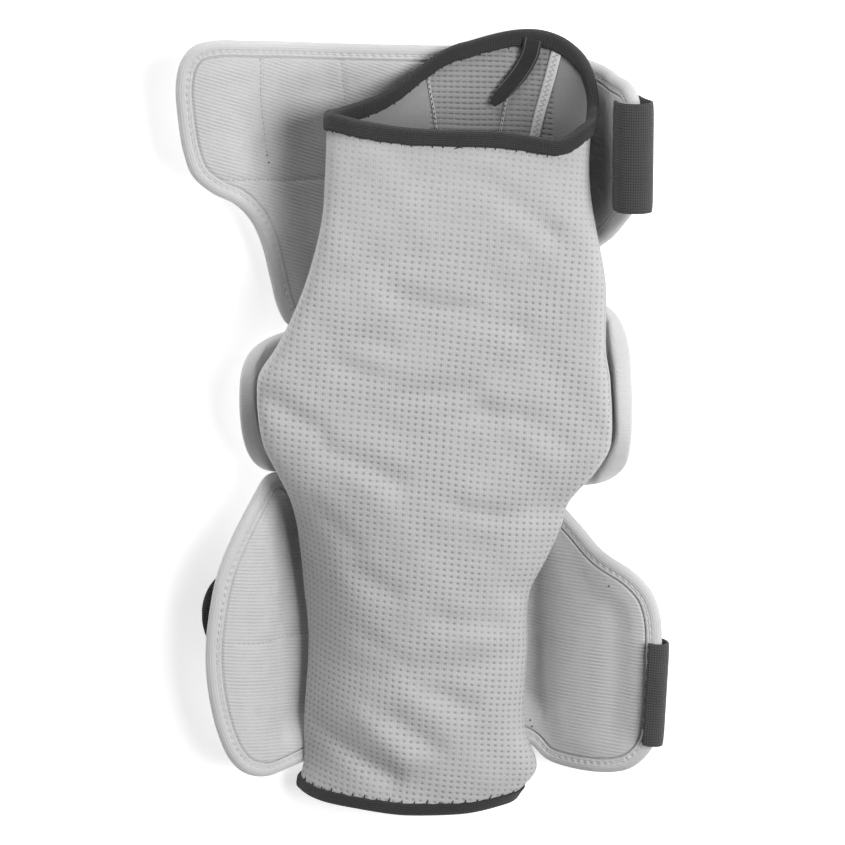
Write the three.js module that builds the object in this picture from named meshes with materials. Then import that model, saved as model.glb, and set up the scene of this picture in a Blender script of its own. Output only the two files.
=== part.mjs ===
// Padded elbow pad for the right arm, lying on its outer side. Millimetres, +Z up,
// +Y toward the upper arm, +X to the right of someone looking into the sleeve side.
import * as THREE from 'three';
import { ParametricGeometry } from 'three/addons/geometries/ParametricGeometry.js';
import { mergeVertices } from 'three/addons/utils/BufferGeometryUtils.js';

// Driving dimensions
const SLEEVE_WALL = 1.6;
const SLEEVE_ROUNDNESS_NEAR = 2.1;
const SLEEVE_ROUNDNESS_FAR = 2.35;
const GUARD_THICKNESS = 10;
const CAP_THICKNESS = 9;
const LIP_THICKNESS = 4;
const LIP_WIDTH = 6.8;
const PUFF_WIDTH = 13;
const BINDING_WALL = 1.0;
const BINDING_SHOULDER = 0.9;
const BINDING_NOSE = 0.3;
const TOP_BINDING_WIDTH = 8;
const BOTTOM_BINDING_WIDTH = 6;
const GAP = 0.3;
const SIDE_SEAM_TURN = 0.0008;
const STRAP_WIDTH = 50;
const STRAP_THICKNESS = 1.8;
const UPPER_ROLL_RADIUS = 7.6;
const FOREARM_FOLD_RADIUS = 6.25;
const STRAP_FOLD_STEPS = 8;
const STRAP_TIP_HALF = 3;
const STRAP_EASE_FROM = 54;
const STRIP_STEPS = 8;
const STRIP_LIFT = 2.5 * GAP;
const LABEL_WIDTH = 7;
const LABEL_THICKNESS = 1.2;
const TAPE_WIDTH = 4.2;
const TAPE_THICKNESS = 0.9;

// Facets
const SLEEVE_AROUND = 32;
const SLEEVE_ROWS = 20;
const RIM_DIVISIONS = 800;
const WALL_SEARCH_STEPS = 40;
const PANEL_AROUND = 48;
const CAP_AROUND = 40;

// Sleeve sections from wrist to upper arm: widest left and right, lowest and highest
const SLEEVE_SECTIONS = [
  { y: -195, left: -60, right: 48, low: 12.5, high: 43 },
  { y: -178, left: -60, right: 50.5, low: 12.5, high: 44 },
  { y: -168, left: -57.8, right: 54, low: 12.5, high: 46 },
  { y: -147, left: -57.4, right: 48.2, low: 12.5, high: 50 },
  { y: -106, left: -55, right: 48.8, low: 12.5, high: 55 },
  { y: -78, left: -57.2, right: 50, low: 12.5, high: 58 },
  { y: -62, left: -58.5, right: 57.5, low: 12.5, high: 60 },
  { y: -46, left: -60.3, right: 64.2, low: 12.5, high: 61.5 },
  { y: -33, left: -63.3, right: 68.2, low: 12, high: 63 },
  { y: -18, left: -69.4, right: 80.4, low: 10, high: 64.5 },
  { y: -6, left: -74.6, right: 87, low: 9.4, high: 65.5 },
  { y: 10, left: -77.2, right: 87.4, low: 9.4, high: 66 },
  { y: 18, left: -77.5, right: 86.9, low: 9.4, high: 66.5 },
  { y: 27, left: -76.6, right: 86.2, low: 9.4, high: 67 },
  { y: 38, left: -69.6, right: 84.4, low: 9.5, high: 67.5 },
  { y: 52, left: -62.2, right: 84, low: 10.2, high: 68 },
  { y: 72, left: -54.2, right: 83.8, low: 10.4, high: 69 },
  { y: 100, left: -47, right: 78.6, low: 10.4, high: 70 },
  { y: 120, left: -45.4, right: 75.8, low: 11, high: 71 },
  { y: 140, left: -44.6, right: 76.2, low: 12.4, high: 72 },
  { y: 155, left: -44.4, right: 79.2, low: 12.4, high: 72 },
  { y: 190, left: -44, right: 80, low: 12.4, high: 72 },
];

// Fabric edge at each opening, every 30 degrees from the right side over the near side
const TOP_EDGE = [150.5, 145, 139, 143, 147, 148.5, 146, 146.5, 154, 176, 182.5, 173];
const BOTTOM_EDGE = [-177, -180.5, -185.5, -186, -181, -179.5, -176, -175, -175.5, -176, -176, -176];

// Long soft dents pressed into the near side of the sleeve
const SLEEVE_DENTS = [
  { x1: -60, y1: -40, x2: -42, y2: -84, depth: 5, width: 8 },
  { x1: -42, y1: -84, x2: -44, y2: -150, depth: 5, width: 8 },
  { x1: -40, y1: -150, x2: -14, y2: -172, depth: 2.5, width: 7 },
  { x1: 84, y1: -2, x2: 58, y2: -34, depth: 5, width: 9 },
  { x1: 66, y1: -38, x2: 44, y2: -74, depth: 3, width: 8 },
  { x1: 74, y1: 70, x2: 62, y2: 20, depth: 2.5, width: 9 },
  { x1: -30, y1: -116, x2: 40, y2: -108, depth: 1.5, width: 7 },
];

// Each guard is a flat panel bent into a trough: straight runs and turns from its middle
const UPPER_BEND = {
  x: 10,
  z: GUARD_THICKNESS / 2,
  left: [{ run: 44, turn: 0 }, { run: 40, turn: 36 }, { run: 8, turn: 0 }, { run: 38, turn: -26 }],
  right: [{ run: 43.6, turn: 0 }, { run: 46, turn: 78 }, { run: 46, turn: 0 }],
};
const CAP_BEND = {
  x: 5,
  z: CAP_THICKNESS / 2,
  left: [{ run: 54, turn: 0 }, { run: 50, turn: 84 }, { run: 10, turn: 0 }],
  right: [{ run: 54, turn: 0 }, { run: 50, turn: 84 }, { run: 12, turn: 0 }],
};
const FOREARM_BEND = {
  x: -2,
  z: FOREARM_FOLD_RADIUS + STRAP_THICKNESS / 2,
  left: [{ run: 42, turn: 0 }, { run: 30, turn: 46 }, { run: 8, turn: 0 }, { run: 32, turn: -34 }],
  right: [{ run: 40, turn: 0 }, { run: 30, turn: 36 }, { run: 14, turn: 0 }, { run: 38, turn: -22 }],
};

// Flat patterns: distance across from the panel's middle, and along the arm
const UPPER_PATTERN = {
  middle: { across: -6, along: 122 },
  edge: [
    { across: -12, along: 175.8 }, { across: -56, along: 177 }, { across: -90, along: 179.6 },
    { across: -114, along: 181 }, { across: -123.5, along: 178.6 }, { across: -129.2, along: 172 },
    { across: -131.7, along: 160.8 }, { across: -131, along: 146 }, { across: -128.4, along: 129 },
    { across: -124.2, along: 118.2 }, { across: -115, along: 110 }, { across: -103.7, along: 104 },
    { across: -95, along: 95.2 }, { across: -89.2, along: 83.8 }, { across: -85.6, along: 70 },
    { across: -83.4, along: 55.5 }, { across: -79.5, along: 48.6 }, { across: -70, along: 46.4 },
    { across: -20, along: 53.5 }, { across: 20, along: 60.5 }, { across: 54, along: 70 },
    { across: 80.7, along: 84.7 }, { across: 106, along: 96.8 }, { across: 122, along: 105.5 },
    { across: 132, along: 116 }, { across: 135, along: 132 }, { across: 134.5, along: 149 },
    { across: 130, along: 159.5 }, { across: 119, along: 164.8 }, { across: 92, along: 166.2 },
    { across: 68.4, along: 170 }, { across: 40, along: 174.6 },
  ],
};
const CAP_PATTERN = {
  middle: { across: 0, along: 10 },
  edge: [
    { across: 0, along: 49 }, { across: 40, along: 52.5 }, { across: 70, along: 57 },
    { across: 88, along: 55 }, { across: 103, along: 48 }, { across: 112.5, along: 35 },
    { across: 115.5, along: 14 }, { across: 113.5, along: -7 }, { across: 106, along: -20 },
    { across: 90, along: -29.5 }, { across: 70, along: -33 }, { across: 42, along: -32.5 },
    { across: 0, along: -30.5 }, { across: -42, along: -28 }, { across: -66, along: -25 },
    { across: -83, along: -26.5 }, { across: -98, along: -22.5 }, { across: -108.5, along: -12 },
    { across: -113.5, along: 7 }, { across: -110.5, along: 23 }, { across: -99, along: 34 },
    { across: -82, along: 39.5 }, { across: -60, along: 42.5 }, { across: -32, along: 46 },
  ],
};
const FOREARM_PATTERN = {
  middle: { across: 2, along: -96 },
  edge: [
    { across: -70.5, along: -27.6 }, { across: -79, along: -29.6 }, { across: -87, along: -37 },
    { across: -97, along: -52.5 }, { across: -105, along: -70 }, { across: -109.4, along: -90 },
    { across: -111.3, along: -110 }, { across: -109.8, along: -130 }, { across: -105.4, along: -149 },
    { across: -99.5, along: -162 }, { across: -92, along: -169.4 }, { across: -80, along: -173.4 },
    { across: -66, along: -172.4 }, { across: -34, along: -164 }, { across: 10, along: -158.6 },
    { across: 42, along: -157.8 }, { across: 53, along: -161.2 }, { across: 62, along: -168.2 },
    { across: 76, along: -170.4 }, { across: 101, along: -168.4 }, { across: 111, along: -163.8 },
    { across: 119.4, along: -153.2 }, { across: 122, along: -140 }, { across: 122.7, along: -108 },
    { across: 121.8, along: -90 }, { across: 117.6, along: -78.4 }, { across: 108.5, along: -69.5 },
    { across: 92, along: -60.8 }, { across: 77, along: -48.2 }, { across: 62, along: -38.6 },
    { across: 26, along: -36 }, { across: -36, along: -35 }, { across: -58, along: -31.6 },
  ],
};

// Strips on the far inner wall of the sleeve, seen through the upper opening
const LABEL_LINE = [{ x: 53, y: 173 }, { x: 42, y: 161 }, { x: 31, y: 148.5 }];
const TAPE_LINE = [
  { x: 62, y: 171 }, { x: 58.6, y: 158 }, { x: 54.4, y: 144 }, { x: 50.8, y: 128 }, { x: 48, y: 112 },
];

const COLOURS = {
  knit: 0xb9b9b9,
  ribbed: 0xc6c6c6,
  smooth: 0xd8d8d8,
  trim: 0xcfcfcf,
  dark: 0x4a4a4c,
};

// A closed solid from a surface that meets itself: coincident corners are joined,
// collapsed triangles dropped, and the winding turned so that it faces outward.
function closed(point, slices, stacks) {
  const sheet = new ParametricGeometry(point, slices, stacks);
  sheet.deleteAttribute('normal');
  sheet.deleteAttribute('uv');
  const joined = mergeVertices(sheet, 1e-4);
  const spot = joined.getAttribute('position');
  const corner = (i) => new THREE.Vector3().fromBufferAttribute(spot, i);
  const faces = [];
  let volume = 0;
  for (let i = 0; i < joined.index.count; i += 3) {
    const [a, b, c] = [0, 1, 2].map((k) => joined.index.getX(i + k));
    if (a === b || b === c || c === a) continue;
    faces.push([a, b, c]);
    volume += corner(a).dot(corner(b).cross(corner(c)));
  }
  joined.setIndex(faces.flatMap(([a, b, c]) => (volume > 0 ? [a, b, c] : [a, c, b])));
  joined.computeVertexNormals();
  return joined;
}

// Smooth curve through a table's columns.
function columns(rows, key, names) {
  const places = rows.map((row) => row[key]);
  const values = rows.flatMap((row) => names.map((name) => row[name]));
  const curve = new THREE.CubicInterpolant(places, values, names.length);
  return (at) => Object.fromEntries(names.map((name, i) => [name, curve.evaluate(at)[i]]));
}

// Smooth value round a ring given at even steps.
function ring(values) {
  const wrapped = [-2, -1].map((k) => values.at(k)).concat(values, values.slice(0, 3));
  const curve = new THREE.CubicInterpolant(wrapped.map((_, i) => i - 2), wrapped, 1);
  return (turn) => curve.evaluate((turn - Math.floor(turn)) * values.length)[0];
}

// Sleeve
const sectionAt = columns(SLEEVE_SECTIONS, 'y', ['left', 'right', 'low', 'high']);
const topEdge = ring(TOP_EDGE);
const bottomEdge = ring(BOTTOM_EDGE);
const power = (value, exponent) => Math.sign(value) * Math.abs(value) ** exponent;

function dentAt(x, y) {
  let depth = 0;
  for (const dent of SLEEVE_DENTS) {
    const line = new THREE.Vector2(dent.x2 - dent.x1, dent.y2 - dent.y1);
    const from = new THREE.Vector2(x - dent.x1, y - dent.y1);
    const share = THREE.MathUtils.clamp(from.dot(line) / line.lengthSq(), 0, 1);
    const away = from.sub(line.multiplyScalar(share)).length() / dent.width;
    depth += dent.depth * Math.exp(-away * away);
  }
  return depth;
}

// Point of the sleeve at a turn round it and a place along the arm, sunk below its outer face.
function sleeveAt(turn, y, sunk) {
  const { left, right, low, high } = sectionAt(y);
  const angle = turn * 2 * Math.PI;
  const near = Math.sin(angle) > 0;
  const roundness = 2 / (near ? SLEEVE_ROUNDNESS_NEAR : SLEEVE_ROUNDNESS_FAR);
  const x = (left + right) / 2 + ((right - left) / 2 - sunk) * power(Math.cos(angle), roundness);
  const rise = power(Math.sin(angle), roundness);
  const z = (low + high) / 2 + ((high - low) / 2 - sunk) * rise;
  return new THREE.Vector3(x, y, z - (near ? dentAt(x, y) * rise : 0));
}

// Front or back half of the sleeve: rows up its outer face and down its inner face.
// Its two side edges thin to the middle of the wall, where the side seams join the halves.
function sleeveHalf(from, to) {
  const rows = SLEEVE_ROWS + 1;
  return closed((u, v, target) => {
    const row = Math.round(v * 2 * rows) % (2 * rows);
    const outside = row < rows;
    const step = outside ? row : 2 * rows - 1 - row;
    const station = THREE.MathUtils.lerp(from, to, u);
    const [start, end] = [bottomEdge(station), topEdge(station)];
    const inner = (step - 1) / (SLEEVE_ROWS - 2);
    let y = THREE.MathUtils.lerp(start + BOTTOM_BINDING_WIDTH, end - TOP_BINDING_WIDTH, inner);
    if (step === 0) y = start;
    if (step === SLEEVE_ROWS) y = end;
    const atSeam = u === 0 || u === 1;
    const turn = THREE.MathUtils.clamp(station, from + SIDE_SEAM_TURN, to - SIDE_SEAM_TURN);
    const faceDepth = outside ? 0 : SLEEVE_WALL;
    target.copy(sleeveAt(turn, y, atSeam ? SLEEVE_WALL / 2 : faceDepth));
  }, SLEEVE_AROUND / 2, 2 * rows);
}

// Folded edge strip: a channel section, in from the edge and out from the middle of the wall.
function channel(width, half) {
  const inner = half + 1.5 * GAP;
  const outer = inner + BINDING_WALL;
  return [
    [width, inner], [BINDING_WALL + GAP, inner], [BINDING_WALL + GAP, -inner], [width, -inner],
    [width, -outer], [BINDING_SHOULDER, -outer], [-BINDING_NOSE, 0],
    [BINDING_SHOULDER, outer], [width, outer],
  ];
}

function rimBinding(edge, inward, width) {
  const section = channel(width, SLEEVE_WALL / 2);
  const reach = BINDING_WALL + 2 * GAP;
  return closed((u, v, target) => {
    const [back, out] = section[Math.round(v * section.length) % section.length];
    const y = edge(u) + inward * (back - reach);
    target.copy(sleeveAt(u, y, SLEEVE_WALL / 2 + inward * out));
  }, SLEEVE_AROUND, section.length);
}

// Place on a bent panel: across its flat pattern, along the arm, and raised off its middle layer.
function bentAt(bend, across, along, raised) {
  const side = across < 0 ? -1 : 1;
  let [left, x, z, angle] = [Math.abs(across), 0, bend.z, 0];
  for (const { run, turn } of [...(side < 0 ? bend.left : bend.right), { run: Infinity, turn: 0 }]) {
    const step = Math.min(left, run);
    const end = angle + (THREE.MathUtils.degToRad(turn) * step) / (run === Infinity ? 1 : run);
    const chord = end === angle ? step : (step * 2 * Math.sin((end - angle) / 2)) / (end - angle);
    x += chord * Math.cos((angle + end) / 2);
    z += chord * Math.sin((angle + end) / 2);
    angle = end;
    left -= step;
    if (left <= 0) break;
  }
  return new THREE.Vector3(
    bend.x + side * (x - raised * Math.sin(angle)), along, z + raised * Math.cos(angle));
}

// Flat pattern of a panel: even steps round its edge, and distance in from that edge.
function flatPattern(pattern) {
  const rim = new THREE.CatmullRomCurve3(
    pattern.edge.map(({ across, along }) => new THREE.Vector3(across, along, 0)), true, 'centripetal');
  rim.arcLengthDivisions = RIM_DIVISIONS;
  const middle = new THREE.Vector3(pattern.middle.across, pattern.middle.along, 0);
  const inset = (turn, distance) => {
    const edge = rim.getPointAt(turn % 1);
    const along = rim.getTangentAt(turn % 1);
    const toMiddle = middle.clone().sub(edge).normalize();
    const square = new THREE.Vector3(-along.y, along.x, 0);
    const inward = square.multiplyScalar(Math.sign(square.dot(toMiddle)));
    const way = toMiddle.add(inward).normalize();
    return edge.addScaledVector(way, distance / way.dot(inward));
  };
  return { inset, middle };
}

// Padded panel: rings from the middle of one face, over the edge, to the middle of the other.
function panel(bend, pattern, rings, around) {
  const { inset, middle } = flatPattern(pattern);
  const layers = [
    ...rings.map((ring) => ({ ...ring, side: 1 })),
    ...rings.toReversed().map((ring) => ({ ...ring, side: -1 })),
  ];
  const full = Math.max(...rings.map(({ from }) => from ?? 0));
  return closed((u, v, target) => {
    const { share = 1, from = full, half, side } = layers[Math.round(v * (layers.length - 1))];
    const flat = middle.clone().lerp(inset(u, from), share);
    target.copy(bentAt(bend, flat.x, flat.y, side * half));
  }, around, layers.length - 1);
}

// Rings of a panel's face: share of the way out to the full thickness, then distances in from the edge.
const GUARD_SHARES = [0, 0.38, 0.5, 0.61, 0.73, 0.86];
const CAP_SHARES = [0, 0.5, 0.62, 0.74, 0.86];
const CAP_EDGE_STEP = 1.3;
const CAP_EDGE_HALF = 0.35 * CAP_THICKNESS;
const GUARD_RINGS = [
  ...GUARD_SHARES.map((share) => ({ share, half: GUARD_THICKNESS / 2 })),
  { from: PUFF_WIDTH, half: GUARD_THICKNESS / 2 },
  { from: LIP_WIDTH + GAP, half: LIP_THICKNESS / 2 },
  { from: BINDING_WALL + 3 * GAP, half: LIP_THICKNESS / 2 },
];
const CAP_RINGS = [
  ...CAP_SHARES.map((share) => ({ share, half: CAP_THICKNESS / 2 })),
  { from: CAP_THICKNESS / 2, half: CAP_THICKNESS / 2 },
  { from: CAP_EDGE_STEP, half: CAP_EDGE_HALF },
  { from: 0, half: 0 },
];

function panelBinding(bend, pattern) {
  const section = channel(LIP_WIDTH, LIP_THICKNESS / 2);
  const { inset } = flatPattern(pattern);
  return closed((u, v, target) => {
    const [back, out] = section[Math.round(v * section.length) % section.length];
    const flat = inset(u, back + GAP);
    target.copy(bentAt(bend, flat.x, flat.y, out));
  }, PANEL_AROUND, section.length);
}

// Flat band through stations: its middle line, half its width as a vector, its facing.
function band(stations, thickness) {
  const ends = [stations[0], ...stations, stations.at(-1)];
  const corners = [[1, 1], [-1, 1], [-1, -1], [1, -1]];
  return closed((u, v, target) => {
    const row = Math.round(v * (ends.length - 1));
    const { at, half, facing } = ends[row];
    const [wide, thick] = corners[Math.round(u * 4) % 4];
    target.copy(at);
    if (row === 0 || row === ends.length - 1) return;
    target.addScaledVector(half, wide).addScaledVector(facing, (thick * thickness) / 2);
  }, 4, ends.length - 1);
}

// Strap folded over a panel's right edge: a run on the inner face, a half turn, the outer face.
function foldedStrap(bend, { edge, tuck, radius, inner, outer, lower, middle, slant, tip }) {
  const path = [];
  const turn = edge - tuck;
  for (const across of [inner, turn]) path.push([across, radius]);
  for (let k = 1; k < STRAP_FOLD_STEPS; k += 1) {
    const angle = (Math.PI * k) / STRAP_FOLD_STEPS;
    path.push([turn + radius * Math.sin(angle), radius * Math.cos(angle)]);
  }
  path.push([turn, -radius]);
  const ease = (across) => (Math.abs(across) > STRAP_EASE_FROM ? 2 * GAP : 0);
  for (const across of outer) path.push([across, -lower - ease(across)]);
  const stations = path.map(([across, raised], i) => {
    const centre = middle + slant * (turn - across);
    const spot = (pair) => bentAt(bend, pair[0], 0, pair[1]);
    const ahead = spot(path[Math.min(i + 1, path.length - 1)]).sub(spot(path[Math.max(i - 1, 0)]));
    const short = tip ? Math.max(0, STRAP_WIDTH / 2 - (across - outer.at(-1))) : 0;
    const half = Math.sqrt(Math.max(STRAP_TIP_HALF ** 2, (STRAP_WIDTH / 2) ** 2 - short ** 2));
    return {
      at: bentAt(bend, across, centre, raised),
      half: new THREE.Vector3(0, half, 0),
      facing: ahead.cross(new THREE.Vector3(0, 1, 0)).normalize(),
    };
  });
  return band(stations, STRAP_THICKNESS);
}

// Strip lying on the far inner wall of the sleeve along a line seen from above.
function innerStrip(line, width, thickness) {
  const farTurn = (x, y) => {
    let [lower, upper] = [0.5, 1];
    for (let k = 0; k < WALL_SEARCH_STEPS; k += 1) {
      const half = (lower + upper) / 2;
      if (sleeveAt(half, y, SLEEVE_WALL).x < x) lower = half;
      else upper = half;
    }
    return lower;
  };
  const curve = new THREE.CatmullRomCurve3(line.map(({ x, y }) => new THREE.Vector3(x, y, 0)));
  const stations = curve.getSpacedPoints(STRIP_STEPS).map(({ x, y }, i) => {
    const along = curve.getTangentAt(i / STRIP_STEPS);
    const across = new THREE.Vector3(-along.y, along.x, 0);
    const wall = (shift) => sleeveAt(farTurn(x + across.x * shift, y), y, SLEEVE_WALL);
    const [one, other] = [wall(width / 2), wall(-width / 2)];
    const slope = (one.z - other.z) / (one.x - other.x || 1);
    const facing = new THREE.Vector3(-slope, 0, 1).normalize();
    const rise = Math.max(one.z, other.z, wall(0).z) - Math.abs(one.z - other.z) / 2;
    return {
      at: new THREE.Vector3(x, y, rise + STRIP_LIFT + thickness / 2),
      half: across.multiplyScalar(width / 2).setZ(slope * across.x),
      facing,
    };
  });
  return band(stations, thickness);
}

const UPPER_STRAP = {
  edge: 135, tuck: 3.5, radius: UPPER_ROLL_RADIUS, inner: 124, lower: 6.5,
  outer: [124, 112, 100, 90, 82], middle: 133, slant: 0, tip: false,
};
const FOREARM_STRAP = {
  edge: 122.6, tuck: 3.5, radius: FOREARM_FOLD_RADIUS, inner: 117.6, lower: FOREARM_FOLD_RADIUS,
  outer: [
    108, 96, 84, 77, 70, 62, 54, 47, 40, 0, -42, -49,
    -56, -64, -72, -80, -88, -95, -100, -104, -107.5, -110, -111.5,
  ],
  middle: -127, slant: 0.155, tip: true,
};

const PIECES = [
  ['sleeve_front', sleeveHalf(0, 0.5), COLOURS.knit],
  ['sleeve_back', sleeveHalf(0.5, 1), COLOURS.knit],
  ['top_binding', rimBinding(topEdge, -1, TOP_BINDING_WIDTH), COLOURS.dark],
  ['bottom_binding', rimBinding(bottomEdge, 1, BOTTOM_BINDING_WIDTH), COLOURS.dark],
  ['upper_guard', panel(UPPER_BEND, UPPER_PATTERN, GUARD_RINGS, PANEL_AROUND), COLOURS.ribbed],
  ['upper_guard_binding', panelBinding(UPPER_BEND, UPPER_PATTERN), COLOURS.trim],
  ['elbow_cap', panel(CAP_BEND, CAP_PATTERN, CAP_RINGS, CAP_AROUND), COLOURS.smooth],
  ['forearm_guard', panel(FOREARM_BEND, FOREARM_PATTERN, GUARD_RINGS, PANEL_AROUND), COLOURS.ribbed],
  ['forearm_guard_binding', panelBinding(FOREARM_BEND, FOREARM_PATTERN), COLOURS.trim],
  ['upper_strap', foldedStrap(UPPER_BEND, UPPER_STRAP), COLOURS.dark],
  ['forearm_strap', foldedStrap(FOREARM_BEND, FOREARM_STRAP), COLOURS.dark],
  ['side_label', innerStrip(LABEL_LINE, LABEL_WIDTH, LABEL_THICKNESS), COLOURS.dark],
  ['seam_tape', innerStrip(TAPE_LINE, TAPE_WIDTH, TAPE_THICKNESS), COLOURS.smooth],
];

const pad = new THREE.Group();
pad.name = 'hockey_elbow_pad';
for (const [name, geometry, color] of PIECES) {
  const mesh = new THREE.Mesh(geometry, new THREE.MeshStandardMaterial({ color, roughness: 0.9 }));
  mesh.name = name;
  pad.add(mesh);
}

// The origin is the middle of the underside of the whole box.
const box = new THREE.Box3().setFromObject(pad);
const middle = box.getCenter(new THREE.Vector3());
for (const mesh of pad.children) mesh.geometry.translate(-middle.x, -middle.y, -box.min.z);

export default pad;
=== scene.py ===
# %% [markdown]
# # A hockey elbow pad
# The pad lies on its outer side, so the camera looks down into the stretch sleeve that the arm
# goes through. Behind the sleeve are three foam guards in cloth: one for the upper arm, a cap for
# the elbow, and one for the forearm. Dark elastic edges the sleeve and makes the two straps.
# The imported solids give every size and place. They are loaded first and never changed, and each
# cloth piece built below stands in for one of them.

import math

import bpy
import numpy as np
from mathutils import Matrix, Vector


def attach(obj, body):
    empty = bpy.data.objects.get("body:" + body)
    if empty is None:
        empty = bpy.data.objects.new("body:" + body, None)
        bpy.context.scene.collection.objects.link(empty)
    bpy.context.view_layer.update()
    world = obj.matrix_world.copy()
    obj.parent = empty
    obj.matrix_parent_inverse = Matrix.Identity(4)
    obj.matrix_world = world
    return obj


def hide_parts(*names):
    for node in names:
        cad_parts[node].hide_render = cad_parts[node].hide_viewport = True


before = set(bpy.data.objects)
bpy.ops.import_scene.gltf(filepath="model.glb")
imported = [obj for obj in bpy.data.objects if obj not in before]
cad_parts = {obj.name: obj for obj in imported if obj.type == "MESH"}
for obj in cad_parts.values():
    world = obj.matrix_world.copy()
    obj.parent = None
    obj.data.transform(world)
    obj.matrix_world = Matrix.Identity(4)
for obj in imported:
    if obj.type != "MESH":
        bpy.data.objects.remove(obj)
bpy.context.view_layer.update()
BODY = "root"
MM = 0.001
# Drawing millimetres of the part's own origin, which is under the middle of its box
ORIGIN = np.array([0.90077, -2.02490, 0.0])
print("nodes:", sorted(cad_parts))

# %% [markdown]
# ## Camera
# The photograph is taken from almost straight above with a long lens. The camera leans twelve
# degrees toward the upper arm, which shows a little of the inside of the upper opening.

# %% Camera at the photograph's angle
LEAN = math.radians(12)
VIEW_DISTANCE = 2.0
VIEW_TARGET = Vector((-0.001606, 0.002025, 0.025))
FRAME_PIXELS = 845
TARGET_MM_PER_PIXEL = 0.47
SENSOR = 36.0

lens_data = bpy.data.cameras.new("photo_camera")
lens_data.sensor_width = SENSOR
lens_data.lens = SENSOR * (VIEW_DISTANCE / MM / TARGET_MM_PER_PIXEL) / FRAME_PIXELS
camera = bpy.data.objects.new("photo_camera", lens_data)
camera.location = VIEW_TARGET + VIEW_DISTANCE * Vector((0, math.sin(LEAN), math.cos(LEAN)))
camera.rotation_euler = (-LEAN, 0, 0)
bpy.context.collection.objects.link(camera)
bpy.context.scene.camera = camera
print("lens", round(lens_data.lens, 1), "mm")

# %% [markdown]
# ## Floor and light
# A product photograph on white has a big soft light and white all round. One wide lamp on the right
# models the folds, two small low ones light what faces left and what faces the far end, and an even
# white world keeps the shadows soft. The floor is a pale sheet that glows a little, as a light table
# does, so shadows on it stay pale.

# %% Pale floor and soft studio light
LAMPS = [
    # name, place (m), side (m), power (W)
    ("right_softbox", (1.0, 0.25, 1.5), 1.0, 30.0),
    ("far_softbox", (-0.4, 1.4, 0.55), 0.6, 7.5),
    ("left_softbox", (-1.3, -0.1, 0.36), 0.55, 2.5),
]
WORLD_STRENGTH = 0.11
FLOOR_HALF = 3.0
FLOOR_CORNERS = [(-1, -1), (1, -1), (1, 1), (-1, 1)]
FLOOR_DROP = 0.0006
FLOOR_GLOW = 0.52
FLOOR_TONE = 252
FLOOR_NOISE = 3.0

for name, place, side, power in LAMPS:
    lamp_data = bpy.data.lights.new(name, "AREA")
    lamp_data.size = side
    lamp_data.energy = power
    lamp = bpy.data.objects.new(name, lamp_data)
    lamp.location = place
    lamp.rotation_euler = (VIEW_TARGET - Vector(place)).to_track_quat("-Z", "Y").to_euler()
    bpy.context.collection.objects.link(lamp)

world = bpy.data.worlds.new("white_room")
world.use_nodes = True
world.node_tree.nodes["Background"].inputs["Color"].default_value = (1, 1, 1, 1)
world.node_tree.nodes["Background"].inputs["Strength"].default_value = WORLD_STRENGTH
bpy.context.scene.world = world
bpy.context.scene.view_settings.view_transform = "Standard"

floor_mesh = bpy.data.meshes.new("pale_floor")
floor_points = [(x * FLOOR_HALF, y * FLOOR_HALF, -FLOOR_DROP) for x, y in FLOOR_CORNERS]
floor_mesh.from_pydata(floor_points, [], [(0, 1, 2, 3)])
floor = bpy.data.objects.new("pale_floor", floor_mesh)
bpy.context.collection.objects.link(floor)
print("lamps:", [name for name, *_ in LAMPS])

# %% [markdown]
# ## From grids to meshes
# Every piece is a grid of points worked out with numpy. A thin piece, such as a sleeve panel or a
# strap, has two grids, its front and its back, joined round their edge by a narrow band. An edge
# strip is one grid that closes on itself both ways. Every corner also keeps a cloth coordinate in
# millimetres, so that weave and ribs follow the cloth however it bends.

# %% Mesh helpers
THREAD_RINGS = np.array([0.03, 0.2, 0.5, 0.8, 0.97])
THREAD_SIDES = 6


def quads_of(rows, columns, wrap=False):
    """Corners of each cell of a grid, counted row by row, and the same corners counted on a grid that
    has one more row and column where it wraps, so that a pattern can run on past the join."""
    fewer = 0 if wrap else 1
    row, column = np.meshgrid(np.arange(rows - fewer), np.arange(columns - fewer), indexing="ij")
    steps = [(0, 0), (0, 1), (1, 1), (1, 0)]
    wide = columns + 1 if wrap else columns
    corners = [((row + a) % rows) * columns + (column + b) % columns for a, b in steps]
    stations = [(row + a) * wide + column + b for a, b in steps]
    return np.stack(corners, -1).reshape(-1, 4), np.stack(stations, -1).reshape(-1, 4)


def rim_of(rows, columns):
    """Corner numbers once round the edge of a grid, anticlockwise."""
    number = np.arange(rows * columns).reshape(rows, columns)
    return np.concatenate([number[0, :-1], number[:-1, -1], number[-1, :0:-1], number[:0:-1, 0]])


def volume_of(points, faces):
    """Signed volume of a closed mesh: each face is cut into two triangles, and each makes a tetrahedron
    with the origin."""
    a, b, c = (points[faces[:, k]] for k in (0, 1, 2))
    d = points[faces[:, -1]]
    halves = np.einsum("ij,ij->i", a, np.cross(b, c)) + np.einsum("ij,ij->i", a, np.cross(c, d))
    return halves.sum() / 6


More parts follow.
